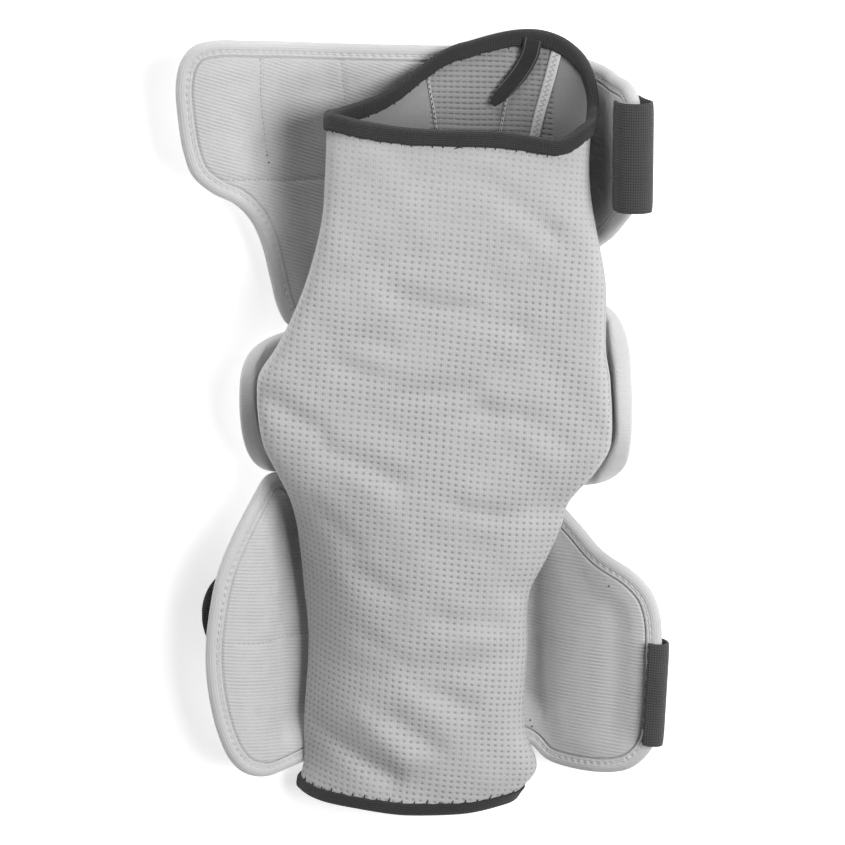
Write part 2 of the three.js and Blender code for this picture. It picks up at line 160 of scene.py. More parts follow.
def put(name, points, faces, cloth=None, caps=None):
    """New object from points in drawing millimetres. Faces are turned outward, cloth holds one coordinate
    for each corner of each face, and caps are further faces with more corners."""
    flip = volume_of(points, faces) < 0
    order = slice(None, None, -1) if flip else slice(None)
    every = faces[:, order].tolist()
    if caps is not None:
        every += caps[:, order].tolist()
    mesh = bpy.data.meshes.new(name)
    mesh.from_pydata(((points - ORIGIN) * MM).tolist(), [], every)
    mesh.polygons.foreach_set("use_smooth", np.ones(len(mesh.polygons), bool))
    if cloth is not None:
        weave = mesh.attributes.new("cloth", "FLOAT_VECTOR", "CORNER")
        weave.data.foreach_set("vector", cloth[:, order].astype(np.float32).ravel())
    piece = bpy.data.objects.new(name, mesh)
    bpy.context.collection.objects.link(piece)
    print(f"{name}: {len(points)} points, {len(every)} faces")
    return piece


def thin_piece(name, front, back, cloth):
    """Closed piece from a front and a back grid: both sets of cells, and a band of cells round the rim."""
    rows, columns = front.shape[:2]
    count = rows * columns
    cells, _ = quads_of(rows, columns)
    rim = rim_of(rows, columns)
    after = np.roll(rim, -1)
    band = np.stack([rim, rim + count, after + count, after], -1)
    faces = np.concatenate([cells, cells[:, ::-1] + count, band])
    points = np.concatenate([front.reshape(-1, 3), back.reshape(-1, 3)])
    both = np.concatenate([cloth.reshape(-1, 3), cloth.reshape(-1, 3) * [1, 1, -1]])
    return put(name, points, faces, both[faces])


def ring_piece(name, points, cloth):
    """Closed piece from one grid that wraps both ways; cloth has one more row and column than points."""
    rows, columns = points.shape[:2]
    faces, stations = quads_of(rows, columns, wrap=True)
    return put(name, points.reshape(-1, 3), faces, cloth.reshape(-1, 3)[stations])


def unit(vectors):
    """Vectors made one long."""
    return vectors / np.linalg.norm(vectors, axis=-1, keepdims=True)


def threads(name, start, end, up, radius, taper=0.0):
    """Many short threads at once. Each is a tube from start to end: rings of points whose radius follows
    half an ellipse along the tube, thinner toward the end by taper, with both ends closed."""
    share = THREAD_RINGS
    angle = np.arange(THREAD_SIDES) * math.tau / THREAD_SIDES
    size = radius * np.sqrt(1 - (2 * share - 1) ** 2) * (1 - taper * share)
    axis = end - start
    side = unit(np.cross(up, axis))
    middle = start[:, None] + share[:, None] * axis[:, None]
    spokes = np.cos(angle)[:, None] * side[:, None, None] + np.sin(angle)[:, None] * up[:, None, None]
    points = middle[:, :, None] + size[:, None, None] * spokes
    count, rings, sides = points.shape[:3]
    row, column = np.meshgrid(np.arange(rings - 1), np.arange(sides), indexing="ij")
    turn = (column + 1) % sides
    here, there = row * sides, (row + 1) * sides
    one = np.stack([here + column, here + turn, there + turn, there + column], -1)
    shift = (np.arange(count) * rings * sides)[:, None, None]
    faces = (one.reshape(1, -1, 4) + shift).reshape(-1, 4)
    ends = np.stack([np.arange(sides)[::-1], (rings - 1) * sides + np.arange(sides)])
    caps = (ends[None] + shift).reshape(-1, sides)
    return put(name, points.reshape(-1, 3), faces, caps=caps)


# %% [markdown]
# ## Curves
# The solids were drawn from short tables with a smooth curve through each. The same two kinds of
# curve are worked out here: one through the rows of a table, and one closed loop through corner
# points. Sampling them finely gives cloth with no facets.

# %% Curve helpers
SPAN_STEPS = 40
LOTS = 60


def through_rows(places, values, at):
    """Cubic through the rows of a table. Each span blends its two rows with their neighbours, weighted by
    spacing."""
    places = np.asarray(places, float)
    values = np.asarray(values, float)
    at = np.clip(np.asarray(at, float), places[0], places[-1])
    last = len(places) - 1
    after = np.clip(np.searchsorted(places, at, side="right"), 1, last)
    before = after - 1
    first_row = np.where(before > 0, before - 1, after)
    next_row = np.where(after < last, after + 1, before)
    span = places[after] - places[before]
    weight_first = 0.5 * span / (places[before] - places[first_row])
    weight_next = 0.5 * span / (places[next_row] - places[after])
    p = (at - places[before]) / span
    share_first = -weight_first * p * (1 - p) ** 2
    share_before = (1 + weight_first) * p**3 - (1.5 + 2 * weight_first) * p**2 + (weight_first - 0.5) * p + 1
    share_after = -(1 + weight_next) * p**3 + (1.5 + weight_next) * p**2 + 0.5 * p
    share_next = weight_next * p**2 * (p - 1)
    shares = [share_first, share_before, share_after, share_next]
    rows = [first_row, before, after, next_row]
    return sum((s[..., None] if values.ndim > 1 else s) * values[r] for s, r in zip(shares, rows))


def around(values, turn):
    """Smooth value round a ring that is given at even steps."""
    wrapped = np.concatenate([values[-2:], values, values[:3]])
    return through_rows(np.arange(len(wrapped)) - 2, wrapped, (turn % 1) * len(values))


def smooth_loop(corners, count):
    """Closed curve through corners, evenly spaced. Between two corners it is a cubic whose end slopes come
    from the neighbours, with each step's share set by the root of its length."""
    p0, p1, p2, p3 = (np.roll(corners, k, axis=0)[:, None] for k in (1, 0, -1, -2))
    spans = ((p0, p1), (p1, p2), (p2, p3))
    d0, d1, d2 = (np.sqrt(np.linalg.norm(b - a, axis=2, keepdims=True)) for a, b in spans)
    slope1 = d1 * ((p1 - p0) / d0 - (p2 - p0) / (d0 + d1) + (p2 - p1) / d1)
    slope2 = d1 * ((p2 - p1) / d1 - (p3 - p1) / (d1 + d2) + (p3 - p2) / d2)
    t = np.linspace(0, 1, SPAN_STEPS, endpoint=False)[None, :, None]
    square = 3 * (p2 - p1) - 2 * slope1 - slope2
    cube = 2 * (p1 - p2) + slope1 + slope2
    curve = p1 + slope1 * t + square * t**2 + cube * t**3
    return evenly(curve.reshape(-1, corners.shape[1]), count, closed=True)


def line_at(line, shares):
    """Points at given shares of the length along a polyline."""
    run = run_of(line)
    return np.stack([np.interp(shares * run[-1], run, line[:, k]) for k in range(line.shape[1])], -1)


def evenly(line, count, closed=False):
    """Points at even distances along a polyline, or once round a closed one."""
    if closed:
        line = np.concatenate([line, line[:1]])
    return line_at(line, np.linspace(0, 1, count, endpoint=not closed))


def steps_of(line, closed=False):
    """Length of each step along a polyline, or once round a closed one."""
    ahead = np.roll(line, -1, axis=0) - line if closed else np.diff(line, axis=0)
    return np.linalg.norm(ahead, axis=1)


def run_of(line, closed=False):
    """Distance from the start at each point of a polyline, and at the end of a closed one."""
    return np.concatenate([[0], np.cumsum(steps_of(line, closed))])


def eased(value, low, high):
    """Smooth step from 0 at low to 1 at high."""
    t = np.clip((value - low) / (high - low), 0, 1)
    return t * t * (3 - 2 * t)


def distance_to(points, line):
    """Distance from each flat point to the nearest place on a polyline, a lot of points at a time."""
    start, step = line[:-1], np.diff(line, axis=0)
    square = (step**2).sum(1)
    found = []
    for some in np.array_split(points.reshape(-1, 2), LOTS):
        away = some[:, None] - start
        share = np.clip((away * step).sum(2) / square, 0, 1)
        found.append(np.linalg.norm(away - share[..., None] * step, axis=2).min(1))
    return np.concatenate(found).reshape(points.shape[:-1])


# %% [markdown]
# ## Shader maths as Python
# A woven pattern is arithmetic on cloth coordinates. A small class wraps one socket and overloads
# the operators, so a sum on sockets adds Math nodes. One method adds every other kind of node.

# %% Finish and wire


class Wire:
    """One socket of a material. Sums on wires add Math nodes."""

    def __init__(self, finish, socket):
        self.finish = finish
        self.socket = socket

    def math(self, operation, *others):
        values = dict(enumerate((self, *others)))
        return self.finish.node("ShaderNodeMath", {"operation": operation}, values)[0]

    def __add__(self, other):
        return self.math("ADD", other)

    def __mul__(self, other):
        return self.math("MULTIPLY", other)

    def __sub__(self, other):
        return self.math("SUBTRACT", other)

    def __rsub__(self, other):
        return self * -1 + other

    def __truediv__(self, other):
        return self.math("DIVIDE", other)

    def __pow__(self, other):
        return self.math("POWER", other)

    __radd__ = __add__
    __rmul__ = __mul__


class Finish:
    """One material: its node tree, and one method that adds any node."""

    def __init__(self, name):
        self.material = bpy.data.materials.new(name)
        self.material.use_nodes = True
        self.tree = self.material.node_tree
        self.shader = self.tree.nodes["Principled BSDF"]

    def feed(self, node, values):
        for place, value in values.items():
            if isinstance(value, Wire):
                self.tree.links.new(value.socket, node.inputs[place])
            else:
                node.inputs[place].default_value = value

    def node(self, kind, settings=None, values=None):
        made = self.tree.nodes.new(kind)
        for name, setting in (settings or {}).items():
            setattr(made, name, setting)
        self.feed(made, values or {})
        return [Wire(self, socket) for socket in made.outputs]

    def cloth(self):
        vector = self.node("ShaderNodeAttribute", {"attribute_name": "cloth"})[1]
        return self.node("ShaderNodeSeparateXYZ", {}, {0: vector})

    def noise(self, scale, detail=2.0):
        place = self.node("ShaderNodeTexCoord")[3]
        return self.node("ShaderNodeTexNoise", {}, {"Vector": place, "Scale": scale, "Detail": detail})[0]

    def step(self, value, low, high):
        values = {0: value, 1: low, 2: high, 3: 0.0, 4: 1.0}
        return self.node("ShaderNodeMapRange", {"interpolation_type": "SMOOTHSTEP"}, values)[0]

    def mix(self, share, one, other):
        return self.node("ShaderNodeMix", {"data_type": "RGBA"}, {0: share, 6: one, 7: other})[2]

    def relief(self, height, depth_mm, strength=1.0):
        values = {"Strength": strength, "Distance": depth_mm * MM, "Height": height}
        self.feed(self.shader, {"Normal": self.node("ShaderNodeBump", {}, values)[0]})

    def set(self, **values):
        self.feed(self.shader, {name.replace("_", " "): value for name, value in values.items()})


def grey(tone, warm=0.0):
    """Linear colour of a screen grey from 0 to 255, a little warmer or cooler."""
    level = ((tone / 255 + 0.055) / 1.055) ** 2.4
    return (level * (1 + warm), level, level * (1 - warm), 1.0)


print("finish helpers ready")

# %% [markdown]
# ## Finishes
# The sleeve is a pale stretch knit with rows of small slits, which lean a little because the cloth
# is pulled. The guards wear a finely ribbed cloth, the cap a plain smooth one. Edge strips are a flat
# tape, and the dark pieces are woven elastic with lengthwise cords. Each pattern is bump and a
# slight change of colour, with broad soft noise on top so that no surface is one flat grey. Part of
# that colour is painted light: painted shade in the rib valleys, in the grooves between cords, round
# each slit and over the knit's inner face, and a painted highlight on the elastic's high threads.

# %% Knit for the sleeve
FINE_DETAIL = 3.0
KNITTED = {"Sheen_Weight": 0.12, "Sheen_Roughness": 0.5, "Specular_IOR_Level": 0.25}
FRONT_SLITS = {
    "column": 3.36, "row": 2.95, "half_wide": 0.76, "half_high": 0.66, "lean": 0.06, "tilt": -0.13,
}
LINING_SLITS = {
    "column": 3.3, "row": 2.5, "half_wide": 1.55, "half_high": 0.52, "lean": 0.0, "tilt": 0.03,
}
PULL = 2.6
PULL_NOISE = {"across": 24.0, "along": 19.0}
KNIT_NOISE = {"blotch": 38.0, "wear": 55.0, "fine_wear": 420.0, "grain": 1500.0}
KNIT_WEAR = {"least": 0.72, "more": 0.38, "fine": 0.5, "step": (0.5, 0.95)}
KNIT_STEPS = {"hole": (0.15, 1.3), "dimple_with_painted_shade": (0.3, 2.6), "between": (0.55, 1.0), "grain": (0.25, 0.75)}
# The dimple share and the inner share mix in painted shade: round each slit, and over the whole inner face.
KNIT_SHARES = {"hole": 0.5, "dimple_with_painted_shade": 0.06, "between": 0.16, "grain": 0.4, "inner": 0.36}
KNIT_HEIGHTS = {"hole": 0.6, "dimple_with_painted_shade": 0.35, "grain": 0.15, "loops": 0.12}
KNIT_TONES = {"grain": -24, "between": 20}
KNIT_DEPTH = 0.4
WALE = 0.8
LOOP_SHARES = {"wale": 0.5, "course": 0.3, "grain": 0.15}
TOP_FADE = (60, 145)
TOP_FADE_SHARE = 0.5
LINING_ROWS = (-1, 61)


def wave(value, pitch):
    """Sine wave along a value, with a given pitch."""
    return (value * (math.tau / pitch)).math("SINE")


def drifting(finish, drift, tone, darker=5, paler=5):
    """Grey that drifts a little darker and paler with broad noise."""
    return finish.mix(drift, grey(tone - darker), grey(tone + paler))


def slits(finish, across, along, column, row, half_wide, half_high, lean, tilt):
    """Distance to the nearest slit's middle, in its own half width and half height. Columns lean and rows
    tilt by the given slopes, and broad noise pulls both out of line."""
    pulled = (across + along * lean + finish.noise(PULL_NOISE["across"]) * PULL) / column
    raised = (along + across * tilt + finish.noise(PULL_NOISE["along"]) * PULL) / row
    aside = (pulled.math("FRACT") - 0.5) * (column / half_wide)
    above = (raised.math("FRACT") - 0.5) * (row / half_high)
    return (aside * aside + above * above) ** 0.5


def knit(name, plain_tone, slit_tone, pattern, shown):
    """Perforated knit: slits darken it and sit in shallow dimples between fine upright wales, with painted
    shade round each slit, a paler line between columns, and painted shade over the whole inner face. Shown
    gives the share of the pattern at each place."""
    finish = Finish(name)
    across, along, face = finish.cloth()
    shares, heights = KNIT_SHARES, KNIT_HEIGHTS
    grain = finish.noise(KNIT_NOISE["grain"], FINE_DETAIL)
    wear = finish.noise(KNIT_NOISE["wear"]) + finish.noise(KNIT_NOISE["fine_wear"]) * KNIT_WEAR["fine"]
    worn = KNIT_WEAR["least"] + KNIT_WEAR["more"] * finish.step(wear, *KNIT_WEAR["step"])
    worn = worn * shown(finish, across, along)
    away = slits(finish, across, along, **pattern)
    hole = (1 - finish.step(away, *KNIT_STEPS["hole"])) * worn
    dimple_with_painted_shade = (1 - finish.step(away, *KNIT_STEPS["dimple_with_painted_shade"])) * worn
    beside = ((across + along * pattern["lean"]) * (math.tau / pattern["column"])).math("COSINE")
    between = finish.step(beside, *KNIT_STEPS["between"]) * worn
    loops = wave(across, WALE) * LOOP_SHARES["wale"] + wave(along, WALE) * LOOP_SHARES["course"]
    fuzz = finish.step(grain + loops * LOOP_SHARES["grain"], *KNIT_STEPS["grain"])
    body = drifting(finish, finish.noise(KNIT_NOISE["blotch"]), plain_tone)
    body = finish.mix(fuzz * shares["grain"], body, grey(plain_tone + KNIT_TONES["grain"]))
    body = finish.mix(between * shares["between"], body, grey(plain_tone + KNIT_TONES["between"]))
    # The slit itself is the knit's dark hole; the wider soft ring round it is painted shade for its dimple.
    body = finish.mix(hole * shares["hole"] + dimple_with_painted_shade * shares["dimple_with_painted_shade"], body, grey(slit_tone))
    # Painted shade: the inner face is darkened toward black, for the shade inside the tube.
    finish.set(Base_Color=finish.mix(finish.step(face, 0.5, -0.5) * shares["inner"], body, grey(0)))
    finish.set(Roughness=0.86, **KNITTED)
    raised = loops * heights["loops"] + grain * heights["grain"]
    finish.relief(raised - hole * heights["hole"] - dimple_with_painted_shade * heights["dimple_with_painted_shade"], KNIT_DEPTH)
    return finish.material


def fading_up(finish, across, along):
    """Share of the front's pattern: less toward the upper opening, where the cloth is stretched."""
    return 1 - finish.step(along, *TOP_FADE) * TOP_FADE_SHARE


def middle_only(finish, across, along):
    """Share of the lining's pattern: all of it in one band up the far wall, and none outside it."""
    low, high = LINING_ROWS
    return finish.step(across, low - 1, low + 1) * (1 - finish.step(across, high - 1, high + 1))


FRONT_KNIT = knit("perforated_knit", plain_tone=202, slit_tone=112, pattern=FRONT_SLITS, shown=fading_up)
BACK_KNIT = knit("lining_knit", plain_tone=200, slit_tone=106, pattern=LINING_SLITS, shown=middle_only)

# %% Ribbed, smooth, trim, tape and elastic cloth
RIB = 1.7
RIB_NOISE = {"drift": 45.0, "wear": 130.0, "grain": 1300.0}
RIB_WEAR = {"least": 0.4, "more": 0.6, "step": (0.35, 0.65)}
# The rib step, share and tone paint shade into the valleys between ribs.
RIB_STEPS = {"grain": (0.25, 0.8), "rib": (0.3, -1.0)}
RIB_SHARES = {"drift": 0.7, "grain": 0.45, "rib": 0.36}
RIB_HEIGHTS = {"rib": 0.36, "grain": 0.25}
RIB_TONES = {"grain": -24, "rib": -40}
RIB_DEPTH = 0.2
WOVEN = {"Sheen_Weight": 0.1, "Sheen_Roughness": 0.5, "Specular_IOR_Level": 0.3}
CORD = 1.15
WEAVE_NOISE = {"drift": 40.0, "grain": 1600.0}
# The cord step, share and tone paint shade into the grooves between cords.
WEAVE_STEPS = {"grain": (0.3, 0.8), "cord": (-0.1, -1.0)}
WEAVE_SHARES = {"over": 0.15, "grain": 0.35, "cord": 0.5}
WEAVE_HEIGHTS = {"over": 0.4, "grain": 0.3}
WEAVE_TONES = {"grain": -20, "cord": -34}
WEAVE_DEPTH = 0.14
ELASTIC_NOISE = {"drift": 60.0, "fuzz": 900.0}
# The worn step, share and tone are a painted highlight on the high threads.
ELASTIC_STEPS = {"worn": (-0.2, 0.9), "border": (0.1, 0.35)}
ELASTIC_SHARES = {"worn": 0.45, "border": 0.6}
ELASTIC_HEIGHTS = {"cord": 0.4, "weft": 0.35, "fuzz": 0.3}
ELASTIC_TONES = {"worn": 26, "border": 85}
ELASTIC_DEPTH = 0.3
THREAD_NOISE = 1800.0
THREAD_TONE = 14
THREAD_DEPTH = 0.1


def ribbed(name, tone, left_slope, right_slope):
    """Fine ribbed cloth: a wave across ribs that run slightly aslant on each side, bent a little by noise,
    with painted shade in the valleys between ribs.
    """
    finish = Finish(name)
    across, along, _ = finish.cloth()
    drift = finish.noise(RIB_NOISE["drift"])
    grain = finish.noise(RIB_NOISE["grain"], FINE_DETAIL)
    lean = across.math("MINIMUM", 0.0) * left_slope + across.math("MAXIMUM", 0.0) * right_slope
    rib = wave(along + lean + drift * RIB_SHARES["drift"], RIB)
    wear = finish.step(finish.noise(RIB_NOISE["wear"]), *RIB_WEAR["step"])
    worn = RIB_WEAR["least"] + RIB_WEAR["more"] * wear
    fuzz = finish.step(grain, *RIB_STEPS["grain"]) * RIB_SHARES["grain"]
    # Painted shade: the valleys between ribs are darkened to the rib tone.
    painted_valley_shade = finish.step(rib, *RIB_STEPS["rib"]) * worn * RIB_SHARES["rib"]
    body = finish.mix(fuzz, drifting(finish, drift, tone), grey(tone + RIB_TONES["grain"]))
    finish.set(Base_Color=finish.mix(painted_valley_shade, body, grey(tone + RIB_TONES["rib"])))
    finish.set(Roughness=0.84, **KNITTED)
    finish.relief(rib * worn * RIB_HEIGHTS["rib"] + grain * RIB_HEIGHTS["grain"], RIB_DEPTH)
    return finish.material


def plain_cloth(name, tone, thread, roughness, cord=0.0):
    """Close plain weave: threads over and under, seen as the product of two waves, with faint lengthwise
    cords whose grooves carry painted shade."""
    finish = Finish(name)
    across, along, _ = finish.cloth()
    drift = finish.noise(WEAVE_NOISE["drift"])
    grain = finish.noise(WEAVE_NOISE["grain"], FINE_DETAIL)
    over = wave(across, 2 * thread) * wave(along, 2 * thread)
    cords = wave(across, CORD) * cord
    fuzz = finish.step(grain + over * WEAVE_SHARES["over"], *WEAVE_STEPS["grain"]) * WEAVE_SHARES["grain"]
    # Painted shade: the grooves between cords are darkened to the cord tone.
    painted_valley_shade = finish.step(cords, *WEAVE_STEPS["cord"]) * WEAVE_SHARES["cord"]
    body = finish.mix(fuzz, drifting(finish, drift, tone), grey(tone + WEAVE_TONES["grain"]))
    finish.set(Base_Color=finish.mix(painted_valley_shade, body, grey(tone + WEAVE_TONES["cord"])))
    finish.set(Roughness=roughness, **WOVEN)
    finish.relief(over * WEAVE_HEIGHTS["over"] + cords + grain * WEAVE_HEIGHTS["grain"], WEAVE_DEPTH)
    return finish.material


def elastic(name, tone, cord, weft, border=0.0):
    """Woven elastic: lengthwise cords crossed by finer weft, with a painted highlight that makes the high
    threads slightly paler, and a paler line along both sides where a border is given."""
    finish = Finish(name)
    across, along, _ = finish.cloth()
    heights = ELASTIC_HEIGHTS
    fuzz = finish.noise(ELASTIC_NOISE["fuzz"], FINE_DETAIL)
    height = wave(across, cord) * heights["cord"] + wave(along, weft) * heights["weft"]
    height = height + fuzz * heights["fuzz"]
    # Painted highlight: the high threads are made paler where they would catch the light.
    worn = finish.step(height, *ELASTIC_STEPS["worn"]) * ELASTIC_SHARES["worn"]
    body = drifting(finish, finish.noise(ELASTIC_NOISE["drift"]), tone, darker=7, paler=6)
    body = finish.mix(worn, body, grey(tone + ELASTIC_TONES["worn"]))
    if border:
        aside = (across.math("ABSOLUTE") - border).math("ABSOLUTE")
        line = (1 - finish.step(aside, *ELASTIC_STEPS["border"])) * ELASTIC_SHARES["border"]
        body = finish.mix(line, body, grey(tone + ELASTIC_TONES["border"]))
    finish.set(Base_Color=body)
    finish.set(Roughness=0.8, **WOVEN)
    finish.relief(height, ELASTIC_DEPTH)
    return finish.material


def thread_finish(name, tone):
    """Sewing thread: plain colour with a fine fuzz."""
    finish = Finish(name)
    fuzz = finish.noise(THREAD_NOISE)
    finish.set(Base_Color=finish.mix(fuzz, grey(tone - THREAD_TONE), grey(tone + THREAD_TONE)))
    finish.set(Roughness=0.7, Specular_IOR_Level=0.3)
    finish.relief(fuzz, THREAD_DEPTH)
    return finish.material


UPPER_RIBS = ribbed("ribbed_upper_cloth", tone=210, left_slope=0.34, right_slope=0.2)
FOREARM_RIBS = ribbed("ribbed_forearm_cloth", tone=211, left_slope=0.16, right_slope=0.025)
SMOOTH_CLOTH = plain_cloth("smooth_cap_cloth", tone=219, thread=0.7, roughness=0.72)
TRIM_CLOTH = plain_cloth("folded_trim_cloth", tone=214, thread=0.5, roughness=0.75, cord=0.35)
TAPE_CLOTH = plain_cloth("seam_tape_cloth", tone=226, thread=0.9, roughness=0.8)
SEAM_CLOTH = plain_cloth("flat_seam_cloth", tone=192, thread=0.9, roughness=0.8)
DARK_ELASTIC = elastic("dark_edge_elastic", tone=55, cord=1.0, weft=0.8)
STRAP_ELASTIC = elastic("dark_strap_webbing", tone=68, cord=1.25, weft=1.0)
LABEL_CLOTH = elastic("dark_label_weave", tone=52, cord=0.6, weft=0.6, border=3.2)
PALE_THREAD = thread_finish("pale_thread", tone=214)
CHANNEL_THREAD = thread_finish("channel_thread", tone=168)
GREY_THREAD = thread_finish("grey_thread", tone=112)
DARK_THREAD = thread_finish("dark_thread", tone=48)
floor_finish = Finish("pale_floor_paper")
floor_tone = drifting(floor_finish, floor_finish.noise(FLOOR_NOISE), FLOOR_TONE, darker=2, paler=2)
floor_finish.set(Base_Color=floor_tone, Roughness=0.9)
floor_finish.set(Emission_Color=(1, 1, 1, 1), Emission_Strength=FLOOR_GLOW)
floor.data.materials.append(floor_finish.material)
print("finishes:", len(bpy.data.materials))

# %% [markdown]
# ## Sleeve shape
# The sleeve is a flattened tube that flares at the elbow. A table gives its sides and heights along
# the arm, each section is a rounded oval, and the two openings have their own wavy edges. Soft
# dents and ridges along lines on the near side are the folds of the slack knit.

# %% Sleeve surface
SLEEVE_WALL = 1.6
KNIT_WALL = 1.3
FOREARM_LEFT_ROUNDNESS = 1.7
FOREARM_RIGHT_ROUNDNESS = 2.3
UPPER_ROUNDNESS = 4.4
FAR_ROUNDNESS = 2.35
UPPER_ARM = (-60, 10)
CROWN_LOSS = 2.5
SECTIONS = np.array([
    # along, left, right, low, high
    (-195, -60, 38, 12.5, 43), (-180, -60, 44.5, 12.5, 44), (-168, -57.8, 53.5, 12.5, 46),
    (-147, -57.4, 48.2, 12.5, 50), (-106, -55, 48.8, 12.5, 55), (-78, -57.2, 50, 12.5, 58),
    (-62, -58.5, 57.5, 12.5, 60), (-46, -60.3, 64.2, 12.5, 61.5), (-33, -63.3, 68.2, 12, 63),
    (-18, -69.4, 80.4, 10, 64.5), (-6, -74.6, 87, 9.4, 65.5), (10, -77.2, 87.4, 9.4, 66),
    (18, -77.5, 86.9, 9.4, 66.5), (27, -76.6, 86.2, 9.4, 67), (38, -69.6, 84.4, 9.5, 67.5),
    (52, -62.2, 84, 10.2, 68), (72, -54.2, 83.8, 10.4, 69), (100, -47, 78.6, 10.4, 70),
    (120, -45.4, 75.8, 11, 71), (140, -44.6, 76.2, 12.4, 72), (155, -44.4, 79.2, 12.4, 72),
    (190, -44, 80, 12.4, 72),
])
TOP_EDGE = np.array([150.5, 145, 139, 143, 147, 149.5, 148.5, 148, 154.5, 176, 182.5, 173])
BOTTOM_EDGE = np.array([-181, -182.5, -185, -185.2, -183.4, -182.4, -179.5, -177, -175.5, -176, -176, -176])
FOLDS = [
    # from x, y, to x, y, height, width
    (-63, -50, -61, -90, -4, 14), (-61, -90, -61, -158, -4, 16), (-52, -147, -16, -168, -3.5, 6),
    (-30, -138, -10, -158, 3, 7), (84, -2, 58, -34, -5, 9), (66, -38, 44, -74, -3, 8),
    (-30, -116, 40, -108, -1.5, 7),
]
CREASES = [
    # from x, y, to x, y, depth, width
    (-14, 69, 14, 61, 1.0, 3.2), (14, 61, 43, 52.5, 0.9, 3.2), (-12.5, 20, 18, 23.5, 1.1, 3.0),
    (7.5, 8, 27, 14, 0.7, 3.0), (27, 14, 44, 11, 0.7, 3.0), (44, 11, 65, -2, 0.7, 3.4),
    (-73, 19, -48, 4, 1.6, 3.2), (-45, -4.5, -12.5, -20, 1.7, 3.4), (-32.5, 75, -6.5, 85.5, 0.7, 4.0),
    (27, 122.5, 57.5, 97, 1.2, 3.4), (57.5, 97, 47, 89, 1.0, 3.0), (-29.5, 48, -14.5, 43.5, 0.7, 3.0),
    (-38.5, 34.5, -12.5, 27, 0.8, 3.0), (-51.5, -34, -33, -53, 1.6, 3.2), (-33, -64, -15, -75, 1.4, 3.2),
    (15.5, -31.5, 30.5, -36, 1.0, 3.0), (30.5, -36, 49, -35.5, 0.9, 3.0), (11, -88, 36.5, -91.5, 1.3, 3.2),
    (-3.5, -120.5, 21.5, -132, 1.3, 3.2), (-12.5, -138.5, 4, -151.5, 1.5, 3.2),
    (-26.5, -98, -10, -109, 1.0, 3.0),
]
CREASE_GAIN = 1.1
CREASE_SPREAD = 1.9
CREASE_CUT = 1.2
SHOULDER_RISE = 0.55
SHOULDER_SPREAD = 2.4
EDGE_SHIFTS = np.array([
    # along, rise and width at the left side, rise and width at the right side
    (-195, -14, 18, 0, 16), (-80, -15.5, 18, 2, 16), (-45, -7, 16, 4, 16), (-15, 3.5, 15, 5.5, 18),
    (20, 5.5, 14, 6.5, 18), (110, 6.5, 14, 5.5, 18), (150, 2.5, 14, 3, 18), (190, 2.5, 14, 3, 18),
])
EDGE_SHARPNESS = 1.2
FAR_HOLD = 0.8
RIPPLES = [
    # height, waves across and along per 100 mm, start
    (0.30, 2.1, 1.3, 0.4), (0.22, -1.2, 2.7, 1.9), (0.14, 4.3, 3.1, 0.9), (0.10, -3.7, 5.2, 2.6),
]


def sections_at(along):
    """Left, right, low and high limits of the sleeve at each place along the arm."""
    return np.moveaxis(through_rows(SECTIONS[:, 0], SECTIONS[:, 1:], along), -1, 0)


def away_from(x, y, x1, y1, x2, y2):
    """Distance from places to a straight line between two points."""
    share = np.clip(((x - x1) * (x2 - x1) + (y - y1) * (y2 - y1)) / ((x2 - x1) ** 2 + (y2 - y1) ** 2), 0, 1)
    return np.hypot(x - x1 - share * (x2 - x1), y - y1 - share * (y2 - y1))


def folds_at(x, y):
    """Height of all folds: a fold is a bell across the distance to its line, a crease a narrow bell taken
    from a wider one so that it has soft shoulders, and the ripples are plain waves."""
    height = np.zeros_like(x)
    for *line, rise, width in FOLDS:
        height += rise * np.exp(-((away_from(x, y, *line) / width) ** 2))
    for *line, depth, width in CREASES:
        away = away_from(x, y, *line) / (width * CREASE_SPREAD)
        shoulders = SHOULDER_RISE * np.exp(-((away / SHOULDER_SPREAD) ** 2))
        height += CREASE_GAIN * depth * (shoulders - CREASE_CUT * np.exp(-(away**2)))
    for rise, across, up, start in RIPPLES:
        height += rise * np.sin((x * across + y * up) * math.tau / 100 + start)
    return height


def edge_shift(x, along):
    """Rise of the cloth near the sleeve's two sides: a pointed bell across the distance from each side."""
    left, right, *_ = sections_at(along)
    columns = np.moveaxis(through_rows(EDGE_SHIFTS[:, 0], EDGE_SHIFTS[:, 1:], along), -1, 0)
    left_rise, left_width, right_rise, right_width = columns
    shift = left_rise * np.exp(-(np.abs((x - left) / left_width) ** EDGE_SHARPNESS))
    return shift + right_rise * np.exp(-(np.abs((x - right) / right_width) ** EDGE_SHARPNESS))


